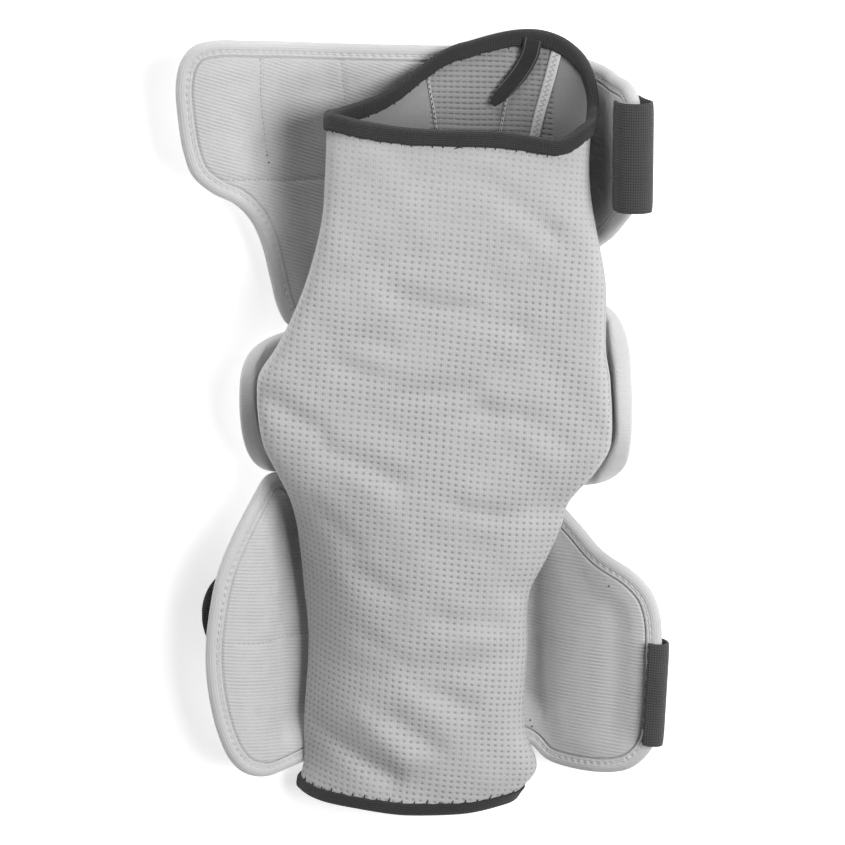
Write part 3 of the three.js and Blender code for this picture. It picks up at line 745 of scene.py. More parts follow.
def sleeve_at(turn, along, sunk):
    """Point of the sleeve: a rounded oval through the four limits at that place along the arm, where a turn
    of 0 is the right side and 0.25 the middle of the near side, sunk below its outer face, with the folds
    on the near half. The near side is flatter over the upper arm, and the forearm's left side slumps."""
    left, right, low, high = sections_at(along)
    upper_arm = eased(along, *UPPER_ARM)
    angle = turn * math.tau
    cosine, sine = np.cos(angle), np.sin(angle)
    forearm_near = np.where(cosine < 0, FOREARM_LEFT_ROUNDNESS, FOREARM_RIGHT_ROUNDNESS)
    near = forearm_near + (UPPER_ROUNDNESS - forearm_near) * upper_arm
    power = 2 / np.where(sine > 0, near, FAR_ROUNDNESS)
    x = (left + right) / 2 + ((right - left) / 2 - sunk) * np.sign(cosine) * np.abs(cosine) ** power
    rise = np.sign(sine) * np.abs(sine) ** power
    z = (low + high) / 2 + ((high - low) / 2 - sunk) * rise
    z = z + (folds_at(x, along) - CROWN_LOSS * upper_arm) * np.maximum(rise, 0)
    return np.stack([x, along, z + edge_shift(x, along) * (1 + FAR_HOLD * np.minimum(rise, 0))], -1)


def far_wall(x, y, sunk):
    """Height of the far wall under a place: the same oval, solved for its height."""
    left, right, low, high = sections_at(y)
    reach = np.clip(np.abs(x - (left + right) / 2) / ((right - left) / 2 - sunk), 0, 1)
    cosine = reach ** (FAR_ROUNDNESS / 2)
    fall = np.sqrt(1 - cosine**2) ** (2 / FAR_ROUNDNESS)
    return (low + high) / 2 - ((high - low) / 2 - sunk) * fall + edge_shift(x, y) * (1 - FAR_HOLD * fall)


print("sleeve length", TOP_EDGE.max() - BOTTOM_EDGE.min(), "mm")

# %% [markdown]
# ## Sleeve panels
# The sleeve is sewn from a front and a back panel. On the right the seam sits a little in front of
# the side, where both edges dip into it and short stitches cross it. Each panel is a grid of rows
# up the arm and columns round it, with an inner and an outer face.

# %% Front and back of the sleeve
FRONT_COLUMNS = 150
FRONT_ROWS = 260
BACK_COLUMNS = 90
BACK_ROWS = 150
EDGE_TUCK = 1.5
KNIT_LINE = 3.0
SEAM_PLACES = [-190, -30, -5, 20, 60, 100, 125, 190]
SEAM_TURNS = [0.003, 0.003, 0.01, 0.027, 0.03, 0.02, 0.004, 0.003]
SEAM_DIP = 2.6
SEAM_SPREAD = 0.008
SEAM_FROM = -178
SEAM_RUN = 330
FRONT_DIP_FADE = (0.003, 0.02)
BACK_DIP_FADE = (1.002, 1.02)
BACK_SUNK = 0.1
BACK_END = 0.999
LEFT_GAP = 0.00002
SEAM_STITCHES = np.arange(2, 92, 2.8)
SEAM_STITCH = {"turn": 0.008, "slant": 0.4, "sunk": 0.35, "radius": 0.3}


def sleeve_panel(start, end, rows, columns):
    """Turn and place along the arm of a panel's grid, between two seam lines up the arm."""
    up = np.linspace(0, 1, rows)[:, None]
    across = np.linspace(0, 1, columns)[None, :]
    nominal = SEAM_FROM + SEAM_RUN * up
    turn = start(nominal) * (1 - across) + end(nominal) * across
    low = around(BOTTOM_EDGE, turn) + EDGE_TUCK
    high = around(TOP_EDGE, turn) - EDGE_TUCK
    return turn, low * (1 - up) + high * up


def right_seam(along):
    """Turn of the right seam, which wanders in front of the side."""
    return through_rows(SEAM_PLACES, SEAM_TURNS, along)


def back_end(along):
    """Turn where the back panel meets the right seam, once round."""
    return BACK_END + right_seam(along)


def left_seam(gap):
    """Turn of the left seam, which is straight, less or more a gap."""
    return lambda along: np.full_like(along, 0.5 + gap)


def seam_dip(turn, seam, fade):
    """Depth of the dip beside the right seam: a bell across the turn from it, where the seam shows."""
    return SEAM_DIP * np.exp(-(((turn - seam) / SEAM_SPREAD) ** 2)) * eased(seam, *fade)


def cloth_of(surface):
    """Cloth coordinate of a grid: run along each row from where it crosses one straight line up the arm, so
    that the knit's columns stay straight, and place along the arm."""
    run = np.cumsum(np.linalg.norm(np.diff(surface, axis=1), axis=2), axis=1)
    run = np.concatenate([np.zeros((len(surface), 1)), run], axis=1)
    aside = surface[..., 0] - KNIT_LINE
    after = np.argmax(aside[:, :-1] * aside[:, 1:] <= 0, axis=1)[:, None] + np.arange(2)
    near, far = np.take_along_axis(aside, after, axis=1).T
    run_near, run_far = np.take_along_axis(run, after, axis=1).T
    run -= (run_near + (run_far - run_near) * near / (near - far))[:, None]
    return np.stack([run, surface[..., 1], np.ones_like(run)], -1)


turn, along = sleeve_panel(right_seam, left_seam(-LEFT_GAP), FRONT_ROWS, FRONT_COLUMNS)
dip = seam_dip(turn, turn[:, :1], FRONT_DIP_FADE)
front_outer = sleeve_at(turn, along, dip)
front_inner = sleeve_at(turn, along, KNIT_WALL + dip)
sleeve_front = thin_piece("sleeve_front_knit", front_outer, front_inner, cloth_of(front_outer))
sleeve_front.data.materials.append(FRONT_KNIT)

turn, along = sleeve_panel(left_seam(LEFT_GAP), back_end, BACK_ROWS, BACK_COLUMNS)
dip = BACK_SUNK + seam_dip(turn, turn[:, -1:], BACK_DIP_FADE)
back_outer = sleeve_at(turn, along, dip)
back_inner = sleeve_at(turn, along, KNIT_WALL + dip)
sleeve_back = thin_piece("sleeve_back_knit", back_outer, back_inner, cloth_of(back_outer))
sleeve_back.data.materials.append(BACK_KNIT)

seam_turn = right_seam(SEAM_STITCHES)
seam_ends = [
    sleeve_at(
        seam_turn + SEAM_STITCH["turn"] * side,
        SEAM_STITCHES + SEAM_STITCH["slant"] * side,
        SEAM_DIP * SEAM_STITCH["sunk"],
    )
    for side in (-1, 1)
]
seam_up = unit(sleeve_at(seam_turn, SEAM_STITCHES, 0.0) - sleeve_at(seam_turn, SEAM_STITCHES, 1.0))
side_stitches = threads("right_seam_stitches", *seam_ends, seam_up, SEAM_STITCH["radius"])
side_stitches.data.materials.append(GREY_THREAD)

# %% [markdown]
# ## Dark edges of the sleeve
# A strip of dark elastic is folded over each opening and overlocked, which leaves small dark thread
# loops along its inner edge. The strip is a rounded fold carried round the opening, and each
# loop is one short tapered thread that lies on the knit.

# %% Folded edges of the two openings
TOP_WIDTH = 7.5
BOTTOM_WIDTH = 6.0
EDGE_WALL = 1.0
EDGE_GAP = 0.3
FOLD_INNER = 0.25
FOLD_OUTER = 0.45
FOLD_STEPS = 34
RIM_COLUMNS = 520
RUFFLES = [
    # height, waves round the opening, start
    (0.12, 31, 0), (0.1, 53, 1),
]
LOOP_STEPS = 2000
LOOP_RADIUS = 0.5
LOOP_LIFT = 0.15
LOOP_STAND = 0.3
LOOP_TUCK = 1.2
LOOP_UNEVEN = 0.35
LOOP_UNEVEN_STEP = 2.4
LOOP_SWAY = 0.0012
LOOP_TAPER = 0.5
TOP_LOOPS = {"pitch": 4.64, "length": 0.8}
BOTTOM_LOOPS = {"pitch": 5.8, "length": 1.5}


def fold_section(width, inner, outer):
    """Closed section of a folded strip, as distance in from the edge and out from the middle of the wall."""
    half = [
        (width, inner + 0.1), (width + 0.1, (inner + outer) / 2), (width - 0.3, outer),
        (width * 0.6, outer + 0.15), (width * 0.3, outer + 0.1), (0.9, outer - 0.15), (0.1, outer * 0.55),
    ]
    inside = [(EDGE_WALL + 1.0, inner), (EDGE_WALL + EDGE_GAP, inner * 0.5)]
    loop = half + [(-0.3, 0.0)] + [(a, -b) for a, b in half[::-1]]
    loop += [(a, -b) for a, b in inside] + inside[::-1]
    return smooth_loop(np.array(loop), FOLD_STEPS)


def rim_place(edge, inward, turn, back, out):
    """Point on the sleeve at a distance in from an opening's edge and out from the middle of its wall."""
    place = around(edge, turn) + inward * (back - EDGE_WALL - 2 * EDGE_GAP)
    return sleeve_at(turn, place, SLEEVE_WALL / 2 - out)


def rim_edge(name, edge, inward, width):
    """Folded strip: its section carried once round the opening, uneven by a fraction of a millimetre."""
    section = fold_section(width, SLEEVE_WALL / 2 + FOLD_INNER, SLEEVE_WALL / 2 + FOLD_OUTER + EDGE_WALL)
    turn = np.linspace(0, 1, RIM_COLUMNS, endpoint=False)[:, None]
    back, out = section[None, :, 0], section[None, :, 1]
    ruffle = sum(height * np.sin(turn * math.tau * waves + start) for height, waves, start in RUFFLES)
    back = back + ruffle * eased(back, 1, width)
    points = rim_place(edge, inward, turn, back, out)
    middle = rim_place(edge, inward, turn[:, 0], width / 2, 0)
    along, across = np.meshgrid(run_of(middle, closed=True), run_of(section, closed=True), indexing="ij")
    return ring_piece(name, points, np.stack([across, along, np.ones_like(along)], -1))


def rim_loops(name, edge, inward, width, pitch, length):
    """Overlock loops: short tapered threads at even distances, from the strip's edge onto the knit, on both
    faces."""
    turn = np.linspace(0, 1, LOOP_STEPS, endpoint=False)
    run = run_of(rim_place(edge, inward, turn, width, 0))
    count = int(run[-1] / pitch)
    at = np.interp((np.arange(count) + 0.5) * run[-1] / count, run, turn)
    starts, ends, ups = [], [], []
    for face in (1, -1):
        lift = face * (SLEEVE_WALL / 2 + LOOP_LIFT)
        uneven = LOOP_UNEVEN * np.sin(np.arange(count) * LOOP_UNEVEN_STEP + face)
        starts.append(rim_place(edge, inward, at, width - LOOP_TUCK, lift + face * LOOP_STAND))
        ends.append(rim_place(edge, inward, at + LOOP_SWAY * uneven, width + length * (1 + uneven), lift))
        up = rim_place(edge, inward, at, width, 1.0) - rim_place(edge, inward, at, width, 0.0)
        ups.append(unit(face * up))
    return threads(name, *(np.concatenate(x) for x in (starts, ends, ups)), LOOP_RADIUS, LOOP_TAPER)


top_edge = rim_edge("top_edge_elastic", TOP_EDGE, -1, TOP_WIDTH)
bottom_edge = rim_edge("bottom_edge_elastic", BOTTOM_EDGE, 1, BOTTOM_WIDTH)
top_loops = rim_loops("top_overlock_loops", TOP_EDGE, -1, TOP_WIDTH, **TOP_LOOPS)
bottom_loops = rim_loops("bottom_overlock_loops", BOTTOM_EDGE, 1, BOTTOM_WIDTH, **BOTTOM_LOOPS)
for piece in (top_edge, bottom_edge):
    piece.data.materials.append(DARK_ELASTIC)
for piece in (top_loops, bottom_loops):
    piece.data.materials.append(DARK_THREAD)

# %% [markdown]
# ## Strips inside the sleeve
# Through the upper opening the far wall shows a pale seam tape, a dark folded label with nothing
# on it, and two flat seams. Each is a narrow strip whose height follows the wall under it.

# %% Label, tape and seams on the far wall
LABEL_LINE = [(50.5, 180), (48.6, 172), (44.2, 164), (38.2, 156.5), (31.8, 149.3)]
TAPE_LINE = [(61.2, 174.3), (57.4, 159), (53.5, 144.5), (50.2, 128), (47.6, 112)]
SEAM_LINES = [
    [(1.8, 162), (3.2, 153), (5, 143), (8, 118)], [(43.5, 170), (41.3, 162.5), (38.2, 151.5), (33, 122)],
]
WALL_LIFT = 0.35
WALL_SUNK = KNIT_WALL + 0.1
PATH_STEPS = 60
STRIP_ROWS = 90
STRIP_COLUMNS = 13
TIP_LOSS = 0.65
OVER_EDGE = (0.1, 0.4)
SELVEDGE_LOSS = 0.55
LABEL_SIZE = {"width": 8.4, "thickness": 1.0, "free_end": 2.5, "over_edge": 2.2}
TAPE_SIZE = {"width": 4.8, "thickness": 0.9}
SEAM_SIZE = {"width": 1.3, "thickness": 0.4}
TAPE_ZIGZAG = {"pitch": 1.2, "length": 3.2, "swing": 1.0, "lift": 0.85, "radius": 0.2}
SEAM_SEWING = {"pitch": 2.3, "length": 1.5, "swing": 0.35, "lift": 0.4, "radius": 0.26}


def path_through(line):
    """Smooth curve through a few points."""
    at = np.linspace(0, len(line) - 1, PATH_STEPS)
    return through_rows(np.arange(len(line)), np.array(line, float), at)


def wall_strip(name, line, width, thickness, free_end=0.0, over_edge=0.0):
    """Strip along a line on the far wall: the line is carried sideways by up to half the width, and the
    height is the wall's own plus the strip's, rounded down at both sides. It can start lifted over the
    folded edge, and it narrows and lifts toward a free end."""
    path = evenly(path_through(line), STRIP_ROWS)
    ahead = unit(np.gradient(path, axis=0))
    square = np.stack([-ahead[:, 1], ahead[:, 0]], -1)
    across = np.linspace(-1, 1, STRIP_COLUMNS)
    share = np.linspace(0, 1, len(path))[:, None]
    half_width = width / 2 * (1 - (TIP_LOSS * share**5 if free_end else 0 * share))
    flat = path[:, None] + square[:, None] * (across * half_width)[..., None]
    x, y = flat[..., 0], flat[..., 1]
    lift = WALL_LIFT + free_end * share**2 + over_edge * (1 - eased(share, *OVER_EDGE))
    wall = far_wall(x, y, WALL_SUNK) + lift
    crown = thickness * (1 - SELVEDGE_LOSS * across[None, :] ** 6)
    run = np.linspace(0, steps_of(path).sum(), len(path))
    cloth = np.stack(np.broadcast_arrays(across * half_width, run[:, None], 1.0), -1)
    return thin_piece(name, np.stack([x, y, wall + crown], -1), np.stack([x, y, wall], -1), cloth)


def wall_stitches(name, line, pitch, length, swing, lift, radius):
    """Threads along a line on the far wall, one per pitch, turned by the swing to one side and the other in
    turn."""
    path = path_through(line)
    count = int(steps_of(path).sum() / pitch)
    middle = line_at(path, (np.arange(count) + 0.5) / count)
    ahead = np.gradient(middle, axis=0)
    heading = np.arctan2(ahead[:, 1], ahead[:, 0]) + swing * (-1.0) ** np.arange(count)
    half = np.stack([np.cos(heading), np.sin(heading)], -1) * length / 2
    ends = []
    for flat in (middle - half, middle + half):
        height = far_wall(flat[:, 0], flat[:, 1], WALL_SUNK) + WALL_LIFT + lift
        ends.append(np.concatenate([flat, height[:, None]], axis=1))
    return threads(name, *ends, np.tile([0.0, 0.0, 1.0], (count, 1)), radius)


label = wall_strip("inner_loop_label", LABEL_LINE, **LABEL_SIZE)
label.data.materials.append(LABEL_CLOTH)
tape = wall_strip("inner_seam_tape", TAPE_LINE, **TAPE_SIZE)
tape.data.materials.append(TAPE_CLOTH)
inner_seams = [wall_strip(f"inner_flat_seam_{n}", line, **SEAM_SIZE) for n, line in enumerate(SEAM_LINES, 1)]
for piece in inner_seams:
    piece.data.materials.append(SEAM_CLOTH)
inner_stitches = [wall_stitches("inner_tape_zigzag", TAPE_LINE, **TAPE_ZIGZAG)]
for number, line in enumerate(SEAM_LINES, 1):
    inner_stitches.append(wall_stitches(f"inner_seam_stitches_{number}", line, **SEAM_SEWING))
inner_stitches[0].data.materials.append(CHANNEL_THREAD)
for piece in inner_stitches[1:]:
    piece.data.materials.append(DARK_THREAD)

# %% [markdown]
# ## Guards as bent flat patterns
# Each guard is cut flat and then bent into a trough round the arm. So it is worked out flat: a
# closed outline, a grid stretched between four parts of it, and the distance in from the edge.
# A table of straight runs and turns then bends every point, as one rolls a sheet.

# %% Bends and outlines
UPPER_BEND = {
    "x": 10.0, "z": 5.0,
    "left": [(44, 0), (40, 36), (8, 0), (38, -26)], "right": [(43.6, 0), (46, 78), (46, 0)],
}
CAP_BEND = {
    "x": 5.0, "z": 4.5,
    "left": [(54, 0), (50, 84), (10, 0)], "right": [(54, 0), (50, 84), (12, 0)],
}
FOREARM_BEND = {
    "x": -2.0, "z": 7.15,
    "left": [(42, 0), (30, 46), (8, 0), (32, -34)], "right": [(40, 0), (30, 36), (14, 0), (38, -22)],
}
UPPER_OUTLINE = np.array([
    (-12, 175.8), (-56, 177), (-90, 179.6), (-114, 181), (-123.5, 178.6), (-129.2, 172), (-131.7, 160.8),
    (-131, 146), (-128.4, 129), (-124.2, 118.2), (-115, 110), (-103.7, 104), (-95, 95.2), (-89.2, 83.8),
    (-85, 69), (-80.6, 53), (-75, 44.2), (-66.5, 44.4), (-20, 53.5), (20, 60.5), (54, 70), (80.7, 84.7),
    (106, 96.8), (122, 105.5), (132, 116), (135, 132), (134.5, 149), (130, 159.5), (119, 164.8), (92, 166.2),
    (68.4, 170), (40, 174.6),
])
CAP_OUTLINE = np.array([
    (0, 49), (40, 52.5), (68, 56.5), (84, 53.5), (96, 45.5), (105.5, 33), (112, 14), (111.5, -3),
    (102.5, -17), (91.5, -26), (81, -31.6), (70, -33.8), (42, -32.5), (0, -30.5), (-42, -28), (-66, -25),
    (-80, -26),
    (-89.5, -20.5), (-98, -10), (-103.5, 1.5), (-105.5, 12.5), (-103, 23), (-95, 31.5), (-81.5, 37.5),
    (-60, 42), (-32, 46),
])
FOREARM_OUTLINE = np.array([
    (-69, -25.6), (-76.5, -26.4), (-85, -35), (-97, -52.5), (-105, -70), (-109.4, -90), (-111.3, -110),
    (-109.8, -130), (-105.4, -149), (-99.5, -162), (-92, -169.4), (-80, -173.4), (-66, -172.4), (-34, -164),
    (10, -158.6), (42, -157.8), (53, -161.2), (62, -168.2), (76, -170.4), (101, -168.4), (111, -163.8),
    (119.4, -153.2), (122, -140), (122.7, -108), (121.8, -90), (117.6, -78.4), (108.5, -69.5), (92, -60.8),
    (77, -48.2), (62, -38.6), (26, -36), (-36, -35), (-58, -31.6),
])
OUTLINE_STEPS = 1600
ENDLESS = 1e6


def bend_side(runs, distance):
    """Sideways and upward reach and slope after a distance from a trough's middle: straight runs and even
    turns, then straight on."""
    x, z, slope = (np.zeros_like(distance) for _ in range(3))
    left = distance
    for run, turn in [*runs, (ENDLESS, 0)]:
        step = np.minimum(left, run)
        half = math.radians(turn) / run * step / 2
        chord = step * np.sinc(half / math.pi)
        x = x + chord * np.cos(slope + half)
        z = z + chord * np.sin(slope + half)
        slope = slope + 2 * half
        left = left - step
    return x, z, slope


def bent(bend, across, along, raised):
    """Point of a bent panel: across its flat pattern, along the arm, and raised square off its middle
    layer."""
    across, along, raised = np.broadcast_arrays(*(np.asarray(v, float) for v in (across, along, raised)))
    side = np.where(across < 0, -1.0, 1.0)
    left, right = bend_side(bend["left"], np.abs(across)), bend_side(bend["right"], np.abs(across))
    x, z, slope = (np.where(across < 0, a, b) for a, b in zip(left, right))
    return np.stack(
        [bend["x"] + side * (x - raised * np.sin(slope)), along, bend["z"] + z + raised * np.cos(slope)], -1
    )


def inward_of(loop):
    """Unit direction into a closed flat outline at each of its points."""
    ahead = np.roll(loop, -1, axis=0) - np.roll(loop, 1, axis=0)
    square = np.stack([-ahead[:, 1], ahead[:, 0]], -1)
    after = np.roll(loop, -1, axis=0)
    anticlockwise = np.sum(loop[:, 0] * after[:, 1] - after[:, 0] * loop[:, 1]) > 0
    return unit(square) * (1 if anticlockwise else -1)


def crowded(count, crowd):
    """Even steps from 0 to 1, drawn toward both ends by taking away a share of one sine wave."""
    step = np.linspace(0, 1, count)
    return step - crowd * np.sin(step * math.tau) / math.tau


def pattern_grid(loop, corners, columns, rows, crowd):
    """Grid on a flat outline between four corners, lower left, lower right, upper left, upper right: the two
    side curves blended across, plus the two end curves blended up, less the corners blended both ways."""
    low_left, low_right, high_left, high_right = (
        int(np.argmin(np.linalg.norm(loop - corner, axis=1))) for corner in corners
    )
    u, v = crowded(columns, crowd), crowded(rows, crowd)

    def side(start, end, shares):
        ahead = (end - start) % len(loop)
        steps = np.arange(ahead + 1) if ahead <= len(loop) / 2 else -np.arange(len(loop) - ahead + 1)
        return line_at(loop[(start + steps) % len(loop)], shares)

    low, high = side(low_left, low_right, u)[None], side(high_left, high_right, u)[None]
    left, right = side(low_left, high_left, v)[:, None], side(low_right, high_right, v)[:, None]
    u, v = u[None, :, None], v[:, None, None]
    ends = (1 - v) * ((1 - u) * loop[low_left] + u * loop[low_right])
    ends = ends + v * ((1 - u) * loop[high_left] + u * loop[high_right])
    return (1 - v) * low + v * high + (1 - u) * left + u * right - ends


print("outline steps", OUTLINE_STEPS)

# %% [markdown]
# ## Swelling the pads
# Foam in a sewn cover swells between its seams. A coarse copy of each guard is blown up as cloth
# with a little pressure and no gravity, while its lip and its seams are held. The rise of each
# point, capped, is then laid over the fine grid, so that outlines and sewn lines stay sharp.

# %% Cloth simulation of a pad
PRESSURE = 4.0
LAST_FRAME = 20
COARSE = 4
THINNED = (slice(None, None, COARSE), slice(None, None, COARSE))


def swell(name, front, back, held, cap):
    """Rise of the front and the back of a closed pad under pressure: how far each point moves along the line
    from the other face, kept between nothing and the cap."""
    rows, columns = held.shape
    draft = thin_piece(name, front, back, np.zeros((rows, columns, 3)))
    pins = draft.vertex_groups.new(name="held")
    both = np.concatenate([held.ravel(), held.ravel()])
    for weight in np.unique(np.round(both, 1)):
        pins.add(np.flatnonzero(np.round(both, 1) == weight).tolist(), float(weight), "REPLACE")
    cloth = draft.modifiers.new("cloth", "CLOTH")
    cloth.settings.vertex_group_mass = "held"
    cloth.settings.use_pressure = True
    cloth.settings.uniform_pressure_force = PRESSURE
    cloth.settings.effector_weights.gravity = 0
    for frame_number in range(1, LAST_FRAME + 1):
        bpy.context.scene.frame_set(frame_number)
    blown = draft.evaluated_get(bpy.context.evaluated_depsgraph_get()).to_mesh()
    places = np.empty(len(blown.vertices) * 3, np.float32)
    blown.vertices.foreach_get("co", places)
    places = places.reshape(2, rows, columns, 3) / MM + ORIGIN
    bpy.data.objects.remove(draft)
    bpy.context.scene.frame_set(1)
    apart = unit(front - back)
    moved = [np.einsum("ijk,ijk->ij", shift, apart) for shift in (places[0] - front, back - places[1])]
    print(f"{name}: front moved up to {moved[0].max():.1f} mm, back {moved[1].max():.1f} mm")
    return [cap * (1 - np.exp(-np.maximum(m, 0) / cap)) for m in moved]


def finer(coarse, rows, columns):
    """Coarse grid of heights made fine: a smooth curve along each row, then along each column."""
    down = through_rows(np.arange(coarse.shape[0]), coarse, np.linspace(0, coarse.shape[0] - 1, rows))
    over = through_rows(np.arange(coarse.shape[1]), down.T, np.linspace(0, coarse.shape[1] - 1, columns))
    return over.T


# %% [markdown]
# ## Upper-arm and forearm guards
# Near its edge a guard is a thin lip that the edge strip folds over. Inside the lip it rises to
# full foam. Sewn channels on the visible side are shallow grooves, with a few needle dots.

# %% Guard pads
LIP_HALF = 1.9
LIP_WIDTH = 7.35
STEP_HALF = 2.9
STEP_WIDTH = 8.2
FOAM_HALF = 3.3
PUFF_WIDTH = 15.0
FOAM_FADE = 25.0
PAD_INSET = 1.9
PAD_CROWD = 0.45
WING_CAP = 1.9
MIDDLE_CAP = 1.0
WINGS = (60, 90)
UPPER_FOAM = [
    # across, foam more or less than the plain pad has
    (-140, 0), (-106, 0), (-83, -2), (-60, -4), (60, -4), (83, -2), (106, 0), (140, 0),
]
FOREARM_FOAM = [
    (-130, 0), (-88, 0), (-76, -1.2), (-66, -3.6), (-56, -5.4), (-46, -5.6), (0, -5), (44, -5.6), (52, -4.4),
    (60, -1.2), (68, 0.3), (78, 0.0), (90, -1.4), (102, -2.8), (130, -3.4),
]
GROOVE_WIDTH = 0.9
HELD_WIDTH = 2.0
HELD_FADE = 3.0
LOOP_THINNED = 4
UPPER_GRID = {"columns": 277, "rows": 137}
FOREARM_GRID = {"columns": 249, "rows": 145}


def guard_pad(name, bend, outline, corners, columns, rows, seams, foam):
    """Padded guard: half thickness by distance from the edge, plus the simulated rise, less grooves along
    the seams, with less foam in the trough that the sleeve lies in. Gives the piece, its outline, and its
    visible face laid flat."""
    loop = smooth_loop(outline, OUTLINE_STEPS)
    flat = pattern_grid(loop + PAD_INSET * inward_of(loop), corners, columns, rows, PAD_CROWD)
    across, along = flat[..., 0], flat[..., 1]
    edge = distance_to(flat, np.concatenate([loop[::LOOP_THINNED], loop[:1]]))
    half = LIP_HALF + (STEP_HALF - LIP_HALF) * eased(edge, LIP_WIDTH, STEP_WIDTH)
    half = half + (FOAM_HALF - STEP_HALF) * eased(edge, STEP_WIDTH, PUFF_WIDTH)
    grooves = np.zeros_like(half)
    held = 1 - eased(edge, STEP_WIDTH, STEP_WIDTH + HELD_FADE)
    for line, depth in seams:
        away = distance_to(flat, np.array(line, float))
        grooves = np.maximum(grooves, depth * np.exp(-((away / GROOVE_WIDTH) ** 2)))
        held = np.maximum(held, np.exp(-((away / HELD_WIDTH) ** 2)))
    wing = eased(np.abs(across), *WINGS)
    cap = MIDDLE_CAP + (WING_CAP - MIDDLE_CAP) * wing
    coarse_front = bent(bend, across[THINNED], along[THINNED], half[THINNED])
    coarse_back = bent(bend, across[THINNED], along[THINNED], -half[THINNED])
    rises = swell(name + "_draft", coarse_front, coarse_back, held[THINNED], cap[THINNED])
    rise_front, rise_back = (np.clip(finer(r, rows, columns), 0, cap) for r in rises)
    places, extra = np.array(foam, float).T
    thicker = through_rows(places, extra, across) * eased(edge, STEP_WIDTH, FOAM_FADE)
    raised = half + rise_front - grooves + thicker
    front = bent(bend, across, along, raised)
    back = bent(bend, across, along, -half - np.minimum(rise_back, MIDDLE_CAP))
    piece = thin_piece(name, front, back, np.stack([across, along, np.ones_like(across)], -1))
    return {"piece": piece, "bend": bend, "loop": loop, "flat": flat, "raised": raised}


UPPER_CORNERS = [(-77, 47.2), (126, 108.5), (-123.5, 178.6), (127, 161.5)]
UPPER_SEAMS = [
    # line across and along the flat pattern, depth
    ([(-91, 172), (-90, 151), (-86.5, 124)], 0.7),
    ([(-49, 171), (-46.5, 148), (-45, 110), (-44, 60)], 0.6),
    ([(-112, 117), (-106, 116), (-92, 115.3), (-76, 113), (-46, 112.5)], 0.45),
]
FOREARM_CORNERS = [(-90, -170.3), (113, -162), (-76, -28.4), (117.6, -78.4)]
FOREARM_SEAMS = [([(-97, -104), (-85, -106), (-60, -107), (-50, -107)], 0.45)]

upper = guard_pad(
    "upper_guard_pad", UPPER_BEND, UPPER_OUTLINE, UPPER_CORNERS,
    seams=UPPER_SEAMS, foam=UPPER_FOAM, **UPPER_GRID,
)
forearm = guard_pad(
    "forearm_guard_pad", FOREARM_BEND, FOREARM_OUTLINE, FOREARM_CORNERS,
    seams=FOREARM_SEAMS, foam=FOREARM_FOAM, **FOREARM_GRID,
)
upper_guard, forearm_guard = upper["piece"], forearm["piece"]
upper_guard.data.materials.append(UPPER_RIBS)
forearm_guard.data.materials.append(FOREARM_RIBS)

# %% [markdown]
# ## Elbow cap
# The cap is a thick soft roll of smooth cloth with a fully rounded edge and no edge strip, so its
# half thickness follows a squarish quarter oval in from the outline. It swells a little as the guards
# do, and its two ends swell inward until they almost touch the sleeve.

# %% Cap pad
CAP_COLUMNS = 245
CAP_ROWS = 97
CAP_CROWD = 0.72
CAP_ROUND = 3.8
CAP_SQUARE = 2.8
CAP_HALF = 3.7
CAP_RISE = 0.8
CAP_EDGE = 0.4
CAP_HELD = 6.0
CAP_CLEAR = 1.0
CAP_SQUEEZE_LEFT = 4.0
CAP_SQUEEZE_RIGHT = 4.5
CAP_END = (76, 92)
CAP_CORNERS = [(-89, -20), (96, -23), (-98, 29), (92, 49)]

cap_loop = smooth_loop(CAP_OUTLINE, OUTLINE_STEPS)
cap_flat = pattern_grid(cap_loop, CAP_CORNERS, CAP_COLUMNS, CAP_ROWS, CAP_CROWD)
cap_edge = distance_to(cap_flat, np.concatenate([cap_loop, cap_loop[:1]]))
cap_short = 1 - np.clip(cap_edge / CAP_ROUND, 0, 1)
cap_roll = (1 - cap_short**CAP_SQUARE) ** (1 / CAP_SQUARE)
cap_half = CAP_EDGE + (CAP_HALF - CAP_EDGE) * cap_roll
cap_across, cap_along = cap_flat[..., 0], cap_flat[..., 1]
cap_rises = swell(
    "elbow_cap_draft",
    bent(CAP_BEND, cap_across[THINNED], cap_along[THINNED], cap_half[THINNED]),
    bent(CAP_BEND, cap_across[THINNED], cap_along[THINNED], -cap_half[THINNED]),
    1 - eased(cap_edge[THINNED], 0, CAP_HELD),
    np.full(cap_half[THINNED].shape, CAP_RISE),
)
cap_front, cap_back = (np.clip(finer(r, CAP_ROWS, CAP_COLUMNS), 0, CAP_RISE) for r in cap_rises)
sleeve_left, sleeve_right, *_ = sections_at(cap_along)
cap_inside = bent(CAP_BEND, cap_across, cap_along, CAP_HALF + CAP_RISE)[..., 0]
cap_gap = np.where(cap_across < 0, sleeve_left - cap_inside, cap_inside - sleeve_right) - CAP_CLEAR
cap_most = np.where(cap_across < 0, CAP_SQUEEZE_LEFT, CAP_SQUEEZE_RIGHT)
cap_squeeze = cap_most * (1 - np.exp(-np.maximum(cap_gap, 0) / cap_most))
cap_front = cap_front + cap_squeeze * eased(np.abs(cap_across), *CAP_END) * cap_roll
elbow_cap = thin_piece(
    "elbow_cap_pad",
    bent(CAP_BEND, cap_across, cap_along, cap_half + cap_front),
    bent(CAP_BEND, cap_across, cap_along, -cap_half - cap_back),
    np.stack([cap_across, cap_along, np.ones_like(cap_across)], -1),
)
elbow_cap.data.materials.append(SMOOTH_CLOTH)

# %% [markdown]
# ## Edge strips of the guards
# A pale strip is folded over each guard's lip and sewn through with a long running stitch. The
# stitch pulls the strip in at every needle hole, so the fold has a dimpled groove, and the
# visible threads lie in that groove.

